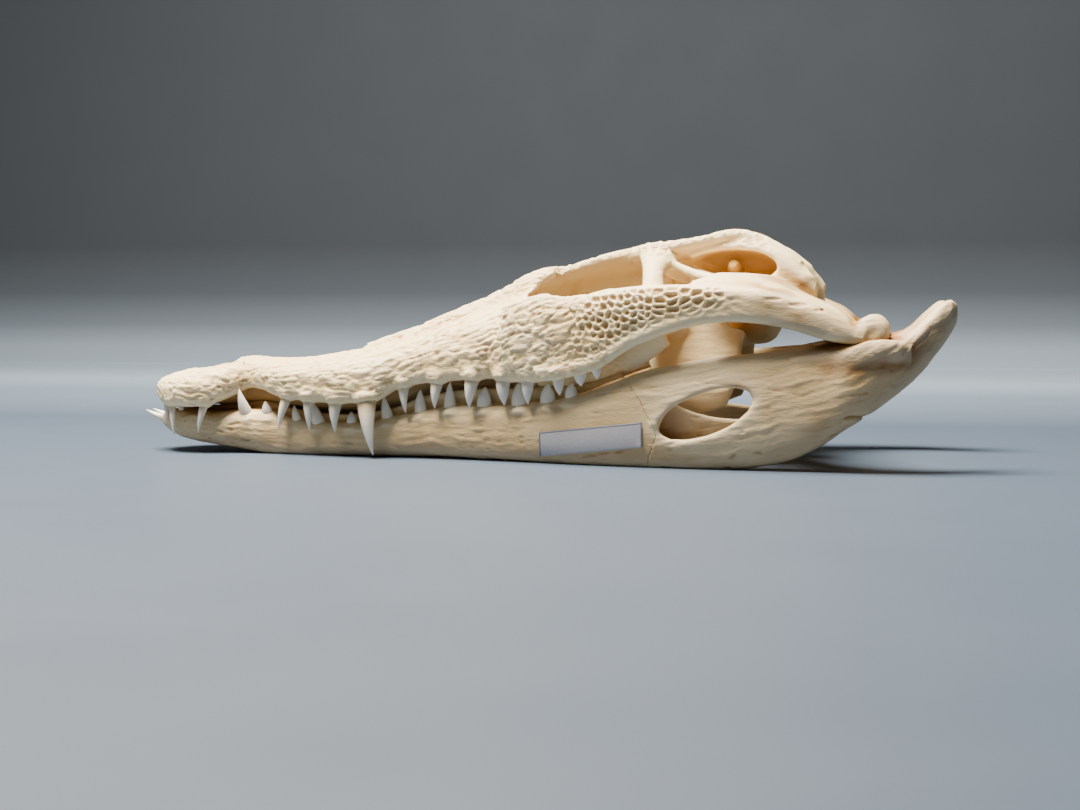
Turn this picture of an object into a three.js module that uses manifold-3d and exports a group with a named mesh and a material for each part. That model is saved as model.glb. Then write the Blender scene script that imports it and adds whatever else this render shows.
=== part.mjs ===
// A crocodile skull with its lower jaw closed under it, life size, in millimetres.
// The snout tip is at s = 0 and s runs back along the skull, w is the distance from the midline
// and z is the height over the table. In the finished part s is +X, the left side is -Y and z is +Z.
// The upper skull is made whole from lofted bones and parted along its main sutures, and so is
// each half of the lower jaw. Teeth are joined to the bone that they grow from.
import * as THREE from "three";
import { mergeVertices } from "three/addons/utils/BufferGeometryUtils.js";
import Module from "manifold-3d";

const wasm = await Module();
wasm.setup();

// ---- driving dimensions -------------------------------------------------------------------------
const SUTURE = 0.3; // open width of a suture between two bones
const TABLE_FRONT = 252;
const TABLE_BACK = 320;
const CONDYLE = { s: 364, w: 65, z: 61.6, r: 7.4, halfWidth: 11.5 }; // jaw joint, on the quadrate
const JOINT_GAP = 0.5; // between the jaw joint's two bones
const BONE_GAP = 0.4; // room between bones that were made apart
const FAR = 95; // further from the midline than any bone
const BONE = { color: 0xe6dcc4, roughness: 0.62, metalness: 0 };
const PAPER = { color: 0xe4e4e6, roughness: 0.7, metalness: 0 };

// ---- lofts ---------------------------------------------------------------------------------------
// Value of every column of rows at t, from 0 at the first row to 1 at the last, by Catmull-Rom.
function along(rows, t) {
  const at = Math.min(t * (rows.length - 1), rows.length - 1 - 1e-9);
  const i = Math.floor(at);
  const f = at - i;
  const row = (k) => rows[Math.max(0, Math.min(rows.length - 1, k))];
  return rows[0].map((_, c) => {
    const [a, b, d, e] = [row(i - 1)[c], row(i)[c], row(i + 1)[c], row(i + 2)[c]];
    return b + 0.5 * f * (d - a + f * (2 * a - 5 * b + 4 * d - e + f * (3 * (b - d) + e - a)));
  });
}

// The solid of a triangle mesh whose points are [s, w, z], for the side of the skull given by
// side = 1 for the right, -1 for the left. Its faces are turned to point out.
function solidOf(points, triangles, side) {
  const position = new Float32Array(points.flatMap(([s, w, z]) => [s, side * w, z]));
  const geometry = new THREE.BufferGeometry();
  geometry.setAttribute("position", new THREE.BufferAttribute(position, 3));
  geometry.setIndex(triangles.flat());
  return closed(geometry);
}

// A closed mesh as a solid. Triangles that shrink to a line where points meet are left out.
function closed(geometry) {
  geometry.deleteAttribute("normal");
  geometry.deleteAttribute("uv");
  const merged = mergeVertices(geometry, 1e-4);
  const corners = merged.index.array;
  const kept = [];
  for (let i = 0; i < corners.length; i += 3) {
    const triangle = corners.slice(i, i + 3);
    if (new Set(triangle).size === 3) kept.push(...triangle);
  }
  const triVerts = new Uint32Array(kept);
  const vertProperties = merged.attributes.position.array;
  const made = new wasm.Manifold(new wasm.Mesh({ numProp: 3, vertProperties, triVerts }));
  if (made.volume() > 0) return made;
  for (let i = 0; i < triVerts.length; i += 3) {
    [triVerts[i + 1], triVerts[i + 2]] = [triVerts[i + 2], triVerts[i + 1]];
  }
  return new wasm.Manifold(new wasm.Mesh({ numProp: 3, vertProperties, triVerts }));
}

// Closes a stack of rings, each an equal list of points, with a fan at both ends.
function skinned(rings, side) {
  const sides = rings[0].length;
  const middle = (ring) => [0, 1, 2].map((c) => ring.reduce((sum, p) => sum + p[c], 0) / sides);
  const points = [...rings.flat(), middle(rings[0]), middle(rings.at(-1))];
  const triangles = [];
  for (let r = 0; r + 1 < rings.length; r++) {
    for (let k = 0; k < sides; k++) {
      const [a, b] = [r * sides + k, r * sides + ((k + 1) % sides)];
      triangles.push([a, b, b + sides], [a, b + sides, a + sides]);
    }
  }
  const last = (rings.length - 1) * sides;
  for (let k = 0; k < sides; k++) {
    triangles.push([points.length - 2, (k + 1) % sides, k]);
    triangles.push([points.length - 1, last + k, last + ((k + 1) % sides)]);
  }
  return solidOf(points, triangles, side);
}

// Signed power, which turns a circle's cosine and sine into those of a squarer oval.
const squared = (x, n) => Math.sign(x) * Math.abs(x) ** (2 / n);

// A bone that runs along the skull. Rows are [s, w, half width, bottom z, widest z, top z]: each
// section is an upright oval, fuller as n grows, with its own fullness below the widest line.
// A grown bone is the same one, thicker all round, to cut its neighbours clear of it.
function lengthwise(rows, { rings, sides = 16, n = 2.4, under = n, side = 1, grow = 0 }) {
  return skinned(
    Array.from({ length: rings }, (_, r) => {
      const [s, w, half, bottom, widest, top] = along(rows, r / (rings - 1));
      const end = r === 0 ? -grow : r === rings - 1 ? grow : 0;
      return Array.from({ length: sides }, (_, k) => {
        const angle = Math.PI / 2 + (2 * Math.PI * (k + 0.5)) / sides; // flat at the bottom
        const fullness = Math.sin(angle) < 0 ? under : n;
        const [x, y] = [squared(Math.cos(angle), fullness), squared(Math.sin(angle), fullness)];
        const z = widest + y * (grow + (y > 0 ? top - widest : widest - bottom));
        return [s + end, w + (half + grow) * x, z];
      });
    }),
    side,
  );
}

// A bone that runs any way. Rows are [s, w, z, half size across, half size the other way], and
// across is the direction, as near as it can be square to the run, of the first half size.
function strut(rows, { rings, sides = 8, n = 2, across = [0, 1, 0], side = 1, grow = 0 }) {
  const centre = (t) => new THREE.Vector3(...along(rows, t));
  return skinned(
    Array.from({ length: rings }, (_, r) => {
      const t = r / (rings - 1);
      const run = centre(Math.min(1, t + 0.02)).sub(centre(Math.max(0, t - 0.02))).normalize();
      const u = new THREE.Vector3(...across);
      u.addScaledVector(run, -u.dot(run)).normalize();
      const v = run.clone().cross(u);
      const [, , , a, b] = along(rows, t);
      const end = r === 0 ? -grow : r === rings - 1 ? grow : 0;
      return Array.from({ length: sides }, (_, k) => {
        const angle = (2 * Math.PI * (k + 0.5)) / sides;
        return centre(t)
          .addScaledVector(run, end)
          .addScaledVector(u, (a + grow) * squared(Math.cos(angle), n))
          .addScaledVector(v, (b + grow) * squared(Math.sin(angle), n))
          .toArray();
      });
    }),
    side,
  );
}

const union = (solids) => solids.reduce((a, b) => a.add(b));

// A box from its low and high corners, [s, w, z] each.
function box(low, high, side = 1) {
  const size = high.map((h, i) => h - low[i]);
  const geometry = new THREE.BoxGeometry(...size);
  geometry.translate(low[0] + size[0] / 2, side * (low[1] + size[1] / 2), low[2] + size[2] / 2);
  return closed(geometry);
}

// An upright or lying elliptic hole: a shape in two of the axes, run through along the third.
function oval(centre, radii, turn, from, to, through) {
  const shape = new THREE.Shape();
  shape.absellipse(0, 0, ...radii, 0, 2 * Math.PI, false, turn);
  const depth = to - from;
  const geometry = new THREE.ExtrudeGeometry(shape, { depth, bevelEnabled: false, curveSegments: 5 });
  geometry.translate(0, 0, from);
  if (through === "w") geometry.rotateX(Math.PI / 2).scale(1, -1, 1);
  return closed(geometry.translate(...centre));
}

// ---- snout: premaxillae, maxillae and nasals ----------------------------------------------------
// [s, w, half width, tooth margin z, widest z, top z]
const SNOUT = [
  [0.6, 0, 6, 29.5, 32, 34.5],
  [4, 0, 15.5, 26.8, 31.5, 37.2],
  [13, 0, 24, 23.6, 30.5, 40.4],
  [25, 0, 28, 22.6, 30.5, 42.6],
  [37, 0, 27, 24.4, 32, 44.8],
  [46, 0, 21.5, 28.6, 35, 46.6],
  [53, 0, 17.6, 32.2, 37, 47.3],
  [61, 0, 21.5, 32, 37.5, 47.2],
  [71, 0, 27.5, 28.4, 36.5, 47.1],
  [85, 0, 32, 26.2, 36, 48.3],
  [100, 0, 36, 25.3, 36, 50.6],
  [115, 0, 39.8, 25.4, 36.5, 53.4],
  [127, 0, 39.8, 27.2, 38, 56.8],
  [136, 0, 37.6, 32.6, 41, 59.6],
  [146, 0, 38, 35.2, 43.5, 63.2],
  [160, 0, 41, 36.4, 46, 68.6],
  [175, 0, 45, 37.4, 48.5, 74.4],
  [190, 0, 49.5, 37.7, 51, 80.4],
  [204, 0, 54.5, 38.2, 54, 87],
  [214, 0, 56.5, 39, 56, 88],
];
const PALATE_RISE = 5.5; // how far the groove inside the tooth row rises over the tooth margin
const RIM = 7; // width of the tooth-bearing rim
// The palate's floor between the tooth rows, which bulges down into the mouth.
const PALATE = [
  [13, 0, 12, 24.2, 28, 33],
  [25, 0, 15, 23.6, 28, 34],
  [37, 0, 14, 24, 29, 36],
  [53, 0, 9, 24.6, 31, 40],
  [71, 0, 14, 23, 30, 38],
  [90, 0, 18, 21.4, 29, 36],
  [110, 0, 21.5, 21, 29, 36],
  [130, 0, 22, 22.6, 32, 40],
  [146, 0, 21.5, 27.8, 37, 46],
  [160, 0, 23.5, 30.4, 40, 48],
  [190, 0, 28.7, 32.8, 42, 50],
  [202, 0, 28, 33.6, 42, 49],
  [209, 0, 20, 37, 43, 48],
  [214, 0, 8, 40.5, 43.6, 46.5],
];
// [s, w, z, half size across, half size the other way], as in every table of a strut
const NOSTRIL = [
  [32, 0, 34, 8, 8],
  [33, 0, 41, 10.5, 12],
  [34, 0, 54, 12, 14],
];
const SOCKET_FRONT = [
  [200, 32, 66, 8, 12],
  [211, 33, 68, 18, 17],
  [222, 34, 70, 21, 22],
  [234, 34, 72, 23, 24],
];

function snout() {
  const arch = SNOUT.slice(2).map(([s, w, half, margin]) => {
    return [s, w, half - RIM, -20, margin - 4, margin + PALATE_RISE];
  });
  const nostrils = strut(NOSTRIL, { rings: 3 });
  const socketFronts = [-1, 1].map((side) => strut(SOCKET_FRONT, { rings: 4, side }));
  return lengthwise(SNOUT, { rings: 20, sides: 10, n: 2.5, under: 5 })
    .subtract(lengthwise(arch, { rings: 7, sides: 4, n: 5 }))
    .add(lengthwise(PALATE, { rings: 8, sides: 6, n: 2.6 }))
    .subtract(nostrils)
    .subtract(union(socketFronts));
}

// ---- cheek: hind maxilla, jugal and quadratojugal ------------------------------------------------
// [s, w, half thickness, bottom z, widest z, top z]
const CHEEK = [
  [192, 44.5, 6, 38.5, 54, 74],
  [204, 48, 6.6, 38.6, 55, 78],
  [214, 51, 6.8, 39.4, 56, 79.5],
  [224, 54, 6.4, 41.2, 58, 78.4],
  [234, 57, 6, 44.6, 60.5, 79.6],
  [246, 60.5, 5.6, 50.6, 65, 82],
  [258, 63.5, 5.2, 57, 69.5, 83.4],
  [272, 66.5, 5, 62.4, 73, 84],
  [288, 69, 4.8, 66.6, 75.5, 83.8],
  [304, 71, 4.8, 68, 75.8, 82.8],
  [320, 72.5, 5, 66.6, 73.4, 80.4],
  [336, 73.5, 5.2, 61.6, 68.6, 75.6],
  [348, 74, 5, 58.2, 62.8, 68.4],
  [357, 73.5, 3.6, 57.4, 59.8, 62.4],
];
const cheek = (side, grow) => lengthwise(CHEEK, { rings: 10, sides: 6, n: 2.6, side, grow });

// ---- skull roof and table ------------------------------------------------------------------------
// [s, w, half width, bottom z, widest z, top z]
const ROOF = [
  [186, 0, 26, 68, 75, 79],
  [200, 0, 28, 72, 81, 85.4],
  [208, 0, 25, 76, 86, 89.4],
  [218, 0, 18.5, 80, 90, 92.4],
  [230, 0, 14.5, 84, 94.6, 96.2],
  [242, 0, 14.5, 88, 98, 99.4],
  [252, 0, 20, 91, 100, 101.6],
  [262, 0, 30, 93.5, 101, 103],
];
// The wall that hangs under the roof between the eye sockets.
const CREST = [
  [206, 0, 13, 76, 80, 86],
  [218, 0, 10, 80, 85, 91],
  [232, 0, 9.5, 81, 88, 95],
  [246, 0, 10.5, 79.5, 89, 98],
  [258, 0, 13, 78, 90, 100],
  [268, 0, 14, 80, 90, 100],
];
const TABLE = [
  [TABLE_FRONT, 0, 31, 95.5, 99.5, 101],
  [258, 0, 35, 95.2, 99.8, 102],
  [270, 0, 37.5, 95.6, 100.6, 103.4],
  [285, 0, 40, 97.6, 102.6, 105.8],
  [299, 0, 42.5, 100.6, 106, 109.4],
  [309, 0, 43.5, 99.4, 105.2, 108.6],
  [316, 0, 42.5, 97, 101.6, 105],
  [TABLE_BACK, 0, 39, 95, 98, 100.6],
];
const TEMPORAL_HOLE = { s: 284, w: 20, radii: [12, 8.5] };

// The table's hind corner, which runs down over the ear to the back of the quadrate, and the
// smooth pocket of the ear in front of it.
const EAR_WALL = [
  [280, 36, 4, 94, 98, 101],
  [290, 37, 7, 88, 97, 103],
  [304, 40, 9.5, 82, 94, 106],
  [316, 42.5, 10.5, 80, 91, 104],
  [326, 45, 9.5, 78, 87, 98.5],
  [333, 47.5, 8, 77, 83, 91],
  [338.5, 49, 5, 77, 80, 84.5],
];
const EAR_POCKET = [
  [280.5, 44, 9, 94.2, 95.4, 96.6],
  [287, 44, 13, 90.6, 94.8, 99],
  [297, 45, 14.5, 87.8, 94.2, 100.6],
  [309, 46, 15, 86.6, 93.2, 100],
  [317.5, 46, 12.5, 87.6, 92.2, 97],
  [321, 45, 8, 89.8, 92, 94.2],
];
const EAR_KNOB = [
  [300, 33, 90, 4, 4],
  [300, 38, 93, 2.7, 2.7],
  [300, 42, 94, 1.2, 1.2],
];
// The bar behind the eye, wide where it leaves the table.
const POSTORBITAL_BAR = [
  [265, 35, 99.5, 9, 5],
  [264.5, 43, 95, 7, 4.2],
  [264, 51, 90, 5, 4],
  [264.5, 57, 84.5, 4.8, 4],
  [265, 62, 78, 6.5, 3.6],
];
// The pillar from the brow down to the palate.
const PREFRONTAL_PILLAR = [
  [212, 13, 88, 6, 4],
  [213, 11, 76, 4, 3],
  [214, 9.5, 64, 4, 3],
  [214, 9, 54, 6, 4],
];

// ---- braincase, palate and wings -----------------------------------------------------------------
const BRAINCASE = [
  [262, 0, 8, 74, 87, 99],
  [274, 0, 13, 68, 86, 99],
  [286, 0, 17, 62, 84, 100],
  [298, 0, 21, 57, 82, 102],
  [308, 0, 25, 56, 82, 102],
  [316, 0, 27, 58, 83, 99],
  [320, 0, 22, 64, 83, 96],
];
const OCCIPITAL_CONDYLE = [
  [314, 0, 80, 9, 8],
  [322, 0, 79, 7, 6.5],
  [328, 0, 78, 6.5, 6],
  [332, 0, 77.5, 3.5, 3.5],
];
const PALATINES = [
  [180, 0, 15, 42, 46, 56],
  [196, 0, 14, 43, 47.5, 58],
  [212, 0, 11.5, 43.6, 48.5, 57],
  [232, 0, 10.5, 45, 50, 57],
  [250, 0, 13, 47, 52, 58],
  [266, 0, 18, 49, 54, 60],
  [282, 0, 18, 51, 57, 66],
  [298, 0, 15, 52, 60, 72],
];
// The pterygoid wing: a level plate from the midline, then a thick blade that hangs down.
const WING_PLATE = [
  [284, 4, 57.5, 19, 3.6],
  [284, 20, 58.5, 20, 3.4],
  [284, 34, 60.5, 21, 3.6],
];
const WING_BLADE = [
  [283, 35, 69, 15, 2],
  [282, 37, 64, 22.5, 3.2],
  [282, 40.5, 54, 22, 3.4],
  [284, 43, 43, 19.5, 3.6],
  [287.5, 44, 33, 14.5, 3.8],
  [290, 43.5, 26, 8, 3],
];
const ECTOPTERYGOID = [
  [272, 37, 64, 8, 3.4],
  [265, 46, 64, 6.5, 4],
  [256, 56, 65, 8, 4.4],
  [250, 60, 66, 9, 4.4],
];

// ---- quadrate ------------------------------------------------------------------------------------
const QUADRATE = [
  [286, 28, 86, 11, 6.5],
  [300, 38, 83.4, 15, 6.6],
  [315, 48, 79.4, 17.5, 6.6],
  [330, 56.5, 73.6, 17.5, 6.2],
  [344, 62, 68.4, 14.5, 6],
  [354, 65, 61.8, 12.8, 4.4],
  [361, 66, 59.4, 11.5, 4],
];
// The sheet of bone between the quadrate and the cheek.
const CHEEK_SHEET = [
  [284, 66, 83.5, 2.5, 1.6],
  [296, 63.5, 84.8, 8, 2.2],
  [308, 63, 84, 11, 2.6],
  [320, 65, 80.4, 10.5, 3],
  [334, 68, 74.6, 7, 3.2],
  [347, 69.5, 67, 5, 3.6],
  [357, 70, 60.6, 3.6, 3.2],
];
const QUADRATE_EDGE = [
  [304, 54, 82, 3, 5],
  [290, 51, 86, 2.4, 4.2],
  [276, 46, 91.5, 2.4, 3.6],
  [266, 41, 96.5, 3, 4],
];
const OCCIPUT_WING = [
  [314, 12, 86, 11, 4],
  [320, 26, 88, 10.5, 4],
  [328, 40, 86, 9.5, 4.2],
  [334, 50, 81, 7, 4.4],
];

// ---- the hind bones ------------------------------------------------------------------------------
const BOTH = [-1, 1];
const earPockets = (grow) => {
  const shape = { rings: 5, sides: 6, n: 2.2, grow: -grow };
  return union(BOTH.map((side) => lengthwise(EAR_POCKET, { ...shape, side })));
};
const table = (grow) => {
  const plate = lengthwise(TABLE, { rings: 6, sides: 8, n: 4.5, grow });
  const holes = BOTH.map((side) => {
    const radii = TEMPORAL_HOLE.radii.map((r) => r - grow);
    return oval([TEMPORAL_HOLE.s, side * TEMPORAL_HOLE.w, 0], radii, 0, 90, 130, "z");
  });
  const corners = BOTH.map((side) => lengthwise(EAR_WALL, { rings: 5, sides: 6, n: 2.8, side, grow }));
  return union([plate, ...corners]).subtract(union(holes)).subtract(earPockets(grow));
};
const braincase = (grow) => {
  const wing = { rings: 3, sides: 6, across: [0, 0, 1], grow };
  return union([
    lengthwise(BRAINCASE, { rings: 5, sides: 8, n: 2.6, grow }),
    strut(OCCIPITAL_CONDYLE, { rings: 4, sides: 6, grow }),
    ...BOTH.map((side) => strut(OCCIPUT_WING, { ...wing, side })),
  ]);
};
const quadrate = (side) => (grow) => {
  const body = union([
    strut(QUADRATE, { rings: 5, sides: 6, across: [0.35, 1, 0], n: 2.6, side, grow }),
    strut(QUADRATE_EDGE, { rings: 3, sides: 5, side, grow }),
    strut(CHEEK_SHEET, { rings: 5, sides: 6, across: [0, 1, -0.5], n: 2.6, side, grow }),
    condyle(side, grow),
  ]);
  const knob = strut(EAR_KNOB, { rings: 2, sides: 5, across: [1, 0, 0], side, grow });
  return body.subtract(earPockets(grow)).add(knob);
};
const pterygoid = (side) => (grow) => {
  return union([
    strut(WING_PLATE, { rings: 3, across: [1, 0, 0], n: 3, side, grow }),
    strut(WING_BLADE, { rings: 5, across: [1, 0, 0], n: 2.6, side, grow }),
    strut(ECTOPTERYGOID, { rings: 4, sides: 6, across: [1, 0, 0], side, grow }),
  ]).subtract(box([200, -80, 20], [340, SUTURE / 2 - grow, 120], side));
};

// The roller of the jaw joint: two bosses with a shallow waist between them.
function condyle(side, grow = 0) {
  const { s, w, z, r, halfWidth } = CONDYLE;
  const rows = [[-1, 0.5], [-0.72, 0.98], [0, 0.9], [0.74, 0.98], [1, 0.5]];
  const ring = ([x, size]) => [s, w + x * halfWidth, z + 1.2 * x, r * size, r * size];
  return strut(rows.map(ring), { rings: rows.length, across: [1, 0, 0], side, grow });
}

// ---- lower jaw -----------------------------------------------------------------------------------
// [s, w, half thickness, bottom z, widest z, top z]
const JAW = [
  [3.4, 4.5, 4, 13.4, 16, 18.6],
  [8, 7, 6.4, 10.6, 15.5, 21],
  [15, 9.4, 8.4, 7.6, 14, 22],
  [25, 11.6, 10, 5.2, 12.5, 21.6],
  [38, 12, 10.2, 3.2, 12, 21],
  [52, 12.4, 9.8, 1.2, 12, 22],
  [64, 15.2, 7.8, -0.9, 11, 22],
  [80, 18.4, 6.2, -1, 8.5, 18],
  [100, 22.8, 6, -0.2, 8, 16.8],
  [118, 25.8, 6, 0.6, 8.5, 17.2],
  [134, 27.6, 6.2, 1, 10, 20.6],
  [150, 29.4, 6.2, 1.2, 12, 23.8],
  [166, 32.6, 6.2, 1, 13.5, 26.6],
  [190, 38.8, 6.6, 0.6, 14, 27.4],
  [212, 45, 7, -0.2, 15, 29.6],
  [230, 50.2, 7.4, -1, 16.5, 33.2],
  [244, 53.6, 7.8, -1.2, 19, 38.4],
  [256, 56.2, 8, -1.3, 21, 42.6],
  [272, 59.4, 8.2, -1.3, 23.5, 47],
  [290, 62, 8.4, -1.2, 25.5, 50.6],
  [310, 64, 8.6, 0.8, 28.5, 53],
  [328, 65.4, 9, 4.6, 32, 54.4],
  [342, 66.4, 10.4, 11.4, 36, 57],
  [352, 67, 12.2, 18.4, 41, 59.4],
  [361, 66.8, 12.4, 24.2, 44, 60],
  [369, 66, 11.4, 30, 47, 60.2],
  [376, 64.6, 10, 35.6, 50, 61],
  [382, 62.6, 9.2, 40.8, 54.4, 64.4],
  [388, 60.4, 8.6, 47.4, 60, 70.4],
  [394, 58, 7.8, 55.4, 66, 75.6],
  [398.6, 56, 6.2, 62, 69.4, 77],
  [401.2, 55, 3, 67, 71, 74.4],
];
// The lip outside the jaw joint, and the hollow along the top of the hind process.
const JOINT_LIP = [
  [346, 74, 50.5, 3, 4.4],
  [355, 76.6, 51.6, 2.8, 4.8],
  [362, 77.4, 53.6, 2.8, 5],
  [368, 77, 54.6, 2.8, 5.2],
  [374, 75, 54, 3, 5],
  [379, 71, 54, 3, 4.4],
];
const HOOK_HOLLOW = [
  [377, 62.5, 63.5, 3.2, 1.8],
  [383, 60.5, 67.6, 3.8, 2],
  [389, 58, 73.4, 3.6, 2],
  [394, 56.5, 78.4, 2.6, 1.6],
];
const SHELF_AT = [62, 85, 120, 160, 205, 250]; // the low ledge inside the tooth row
const JAW_RINGS = 23;
const JAW_FULLNESS = 2.5;
const JAW_WINDOW = { s: 290, z: 25.4, radii: [22.4, 9.4], turn: 0.37 }; // external mandibular fenestra
const OUTER_WALL = 4;
const INNER_WALL = 3;
const TROUGH = { from: 258, to: 338, floor: 6, roof: 44, sill: 23 }; // hollow for the jaw muscle

// The jaw's centre w, half thickness, bottom, widest and top z at s.
function jawAt(s) {
  let [low, high] = [0, 1];
  for (let i = 0; i < 24; i++) {
    const t = (low + high) / 2;
    if (along(JAW, t)[0] < s) low = t;
    else high = t;
  }
  return along(JAW, low);
}

// A hollow that follows the jaw from one s to another, between a w and a z range given by functions.
function followingJaw(from, to, rings, range) {
  return (side) => {
    const stack = Array.from({ length: rings }, (_, r) => {
      const s = from + ((to - from) * r) / (rings - 1);
      const [w0, w1, z0, z1] = range(jawAt(s), (s - from) / (to - from));
      return [[s, w0, z0], [s, w1, z0], [s, w1, z1], [s, w0, z1]];
    });
    return skinned(stack, side);
  };
}

const swell = (t) => Math.sqrt(Math.max(0.02, Math.sin(Math.PI * t)));
const trough = followingJaw(TROUGH.from, TROUGH.to, 7, ([, w, half, , , top], t) => {
  const middle = (TROUGH.floor + TROUGH.roof) / 2;
  const reach = ((TROUGH.roof - TROUGH.floor) / 2) * swell(t);
  return [w - half + INNER_WALL, w + half - OUTER_WALL, middle - reach, Math.min(middle + reach, top - 5)];
});
const muscleWay = followingJaw(TROUGH.from + 12, TROUGH.to - 4, 5, ([, w, half], t) => {
  const sill = TROUGH.sill + 12 * (1 - swell(t));
  return [w - half - 6, w - 0.5, sill, 70];
});

function lowerJaw(side) {
  const { s, z, radii, turn } = JAW_WINDOW;
  const window = oval([s, side * 66, z], radii, turn, -9, 9, "w");
  const joint = quadrate(side)(JOINT_GAP);
  const shelf = SHELF_AT.map((at) => {
    const [, w, half, , , top] = jawAt(at);
    return [at, w - half + 3.2, 2.4, top - 9, top - 1, top + 4];
  });
  return lengthwise(JAW, { rings: JAW_RINGS, sides: 8, n: JAW_FULLNESS, side })
    .add(lengthwise(shelf, { rings: SHELF_AT.length, sides: 4, side }))
    .add(strut(JOINT_LIP, { rings: 5, sides: 6, side }))
    .subtract(strut(HOOK_HOLLOW, { rings: 3, sides: 6, side }))
    .subtract(trough(side))
    .subtract(muscleWay(side))
    .subtract(window)
    .subtract(joint)
    .subtract(cheek(side, JOINT_GAP))
    .subtract(box([-20, -FAR, -20], [420, FAR, 0]))
    .subtract(box([-20, -20, -20], [420, SUTURE / 2, 120], side));
}

// ---- teeth ---------------------------------------------------------------------------------------
// Each is [s, w, z] of the gum line, [s, w, z] of the tip, and the diameter at the gum line.
const UPPER_TEETH = [
  [[9.5, 16.5, 24.6], [9.6, 17.6, 14.6], 2.6],
  [[14, 20, 24], [15.4, 21.8, 8.2], 3.4],
  [[32.5, 24.2, 24], [29.6, 25.4, 10.4], 4],
  [[76.6, 26, 28], [72.9, 27.6, 12.4], 4.8],
  [[89.6, 29.8, 27], [90.4, 31, 12.6], 5.4],
  [[104.4, 33.4, 26.6], [104.5, 34.6, 12.2], 6.2],
  [[121.4, 37, 27.4], [125.6, 40.6, 1.4], 8.8],
  [[139.4, 34.4, 34.6], [140.8, 35.6, 22], 5],
  [[156.8, 37.2, 37], [156, 38.6, 24.6], 5.6],
  [[175.4, 42, 38.6], [174.2, 43, 25.4], 6.4],
  [[191.6, 46.6, 39], [192.5, 47.6, 27.2], 6.4],
  [[204.4, 50, 39.6], [204.6, 51, 28], 6],
  [[219.8, 54, 41.8], [220.5, 55, 32.6], 5.4],
  [[230.5, 56.4, 44.6], [231, 57.2, 37], 5.6],
  [[238.4, 58.4, 48], [239, 59, 40.4], 4.8],
];
const LOWER_TEETH = [
  [[4.6, 3.9, 15.6], [-7.3, 4.4, 20.6], 3.9],
  [[17, 14, 20.4], [15.6, 15.4, 24.6], 3],
  [[30, 17.6, 19.4], [29, 18.8, 24.4], 3.2],
  [[53, 17.6, 19], [49.6, 20.2, 32.4], 6.6],
  [[64.6, 18.4, 19], [63.2, 19.6, 26.4], 5],
  [[80.7, 20.4, 16], [79, 21.4, 24.6], 4.6],
  [[92.8, 22.8, 15], [90.2, 24, 26], 6.4],
  [[111, 26.4, 15.2], [110.6, 26.8, 22], 5],
  [[130.2, 28.8, 18.6], [128, 29.6, 30.6], 5.8],
  [[147.2, 30.6, 22], [147, 31.2, 33.6], 6],
  [[162.8, 33.6, 24.6], [162.7, 34.4, 37.6], 6.2],
  [[180.7, 38.2, 25.4], [181.2, 38.8, 35.6], 6.8],
  [[199.4, 43.2, 26.4], [198.7, 43.8, 38], 7.6],
  [[213.8, 47.2, 28], [213.5, 47.6, 37.8], 7],
  [[225.5, 50.2, 30.4], [225.3, 50.6, 38.4], 5.8],
];
const ROOT = 4; // how far a crown goes on into the jaw, so that the two join

const ACROSS_TOOTH = [1, 0.01, 0];

// A crown: full near the gum line, then tapering to a point.
function tooth([gum, tip, width], side) {
  const base = new THREE.Vector3(...gum);
  const run = new THREE.Vector3(...tip).sub(base);
  const profile = [[-ROOT / run.length(), 0.46], [0.42, 0.44], [1, 0]];
  const rows = profile.map(([t, size]) => {
    const at = base.clone().addScaledVector(run, t).toArray();
    return [...at, width * size, width * size];
  });
  const sides = width > 6 ? 5 : 4;
  return strut(rows, { rings: rows.length, sides, across: ACROSS_TOOTH, side });
}

// The room that a crown needs in the jaw across from it: a square peg, a little wider.
function toothRoom([gum, tip, width], side) {
  const [wide, narrow] = [0.5, 0.34].map((size) => Math.SQRT2 * width * size + 0.2);
  const rows = [[...gum, wide, wide], [...tip, narrow, narrow]];
  return strut(rows, { rings: 2, sides: 4, across: ACROSS_TOOTH, side, grow: BONE_GAP });
}

const teeth = (rows, side) => union(rows.map((row) => tooth(row, side)));
const toothRooms = (rows, side) => union(rows.map((row) => toothRoom(row, side)));

// ---- parting into bones --------------------------------------------------------------------------
// A thin wall that parts bones: a line of [s, z] points in side view, run through from w0 to w1.
function sutureWall(line, w0, w1) {
  const shape = new THREE.Shape();
  const offset = line.map(([s, z], i) => {
    const [a, b] = [line[Math.max(0, i - 1)], line[Math.min(line.length - 1, i + 1)]];
    const length = Math.hypot(b[0] - a[0], b[1] - a[1]);
    const nx = (-(b[1] - a[1]) / length) * (SUTURE / 2);
    const nz = ((b[0] - a[0]) / length) * (SUTURE / 2);
    return [s + nx, z + nz, s - nx, z - nz];
  });
  offset.forEach(([s, z], i) => (i ? shape.lineTo(s, z) : shape.moveTo(s, z)));
  offset.reverse().forEach(([, , s, z]) => shape.lineTo(s, z));
  const geometry = new THREE.ExtrudeGeometry(shape, { depth: w1 - w0, bevelEnabled: false, steps: 1 });
  geometry.rotateX(Math.PI / 2).translate(0, w1, 0);
  return closed(geometry);
}

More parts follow.
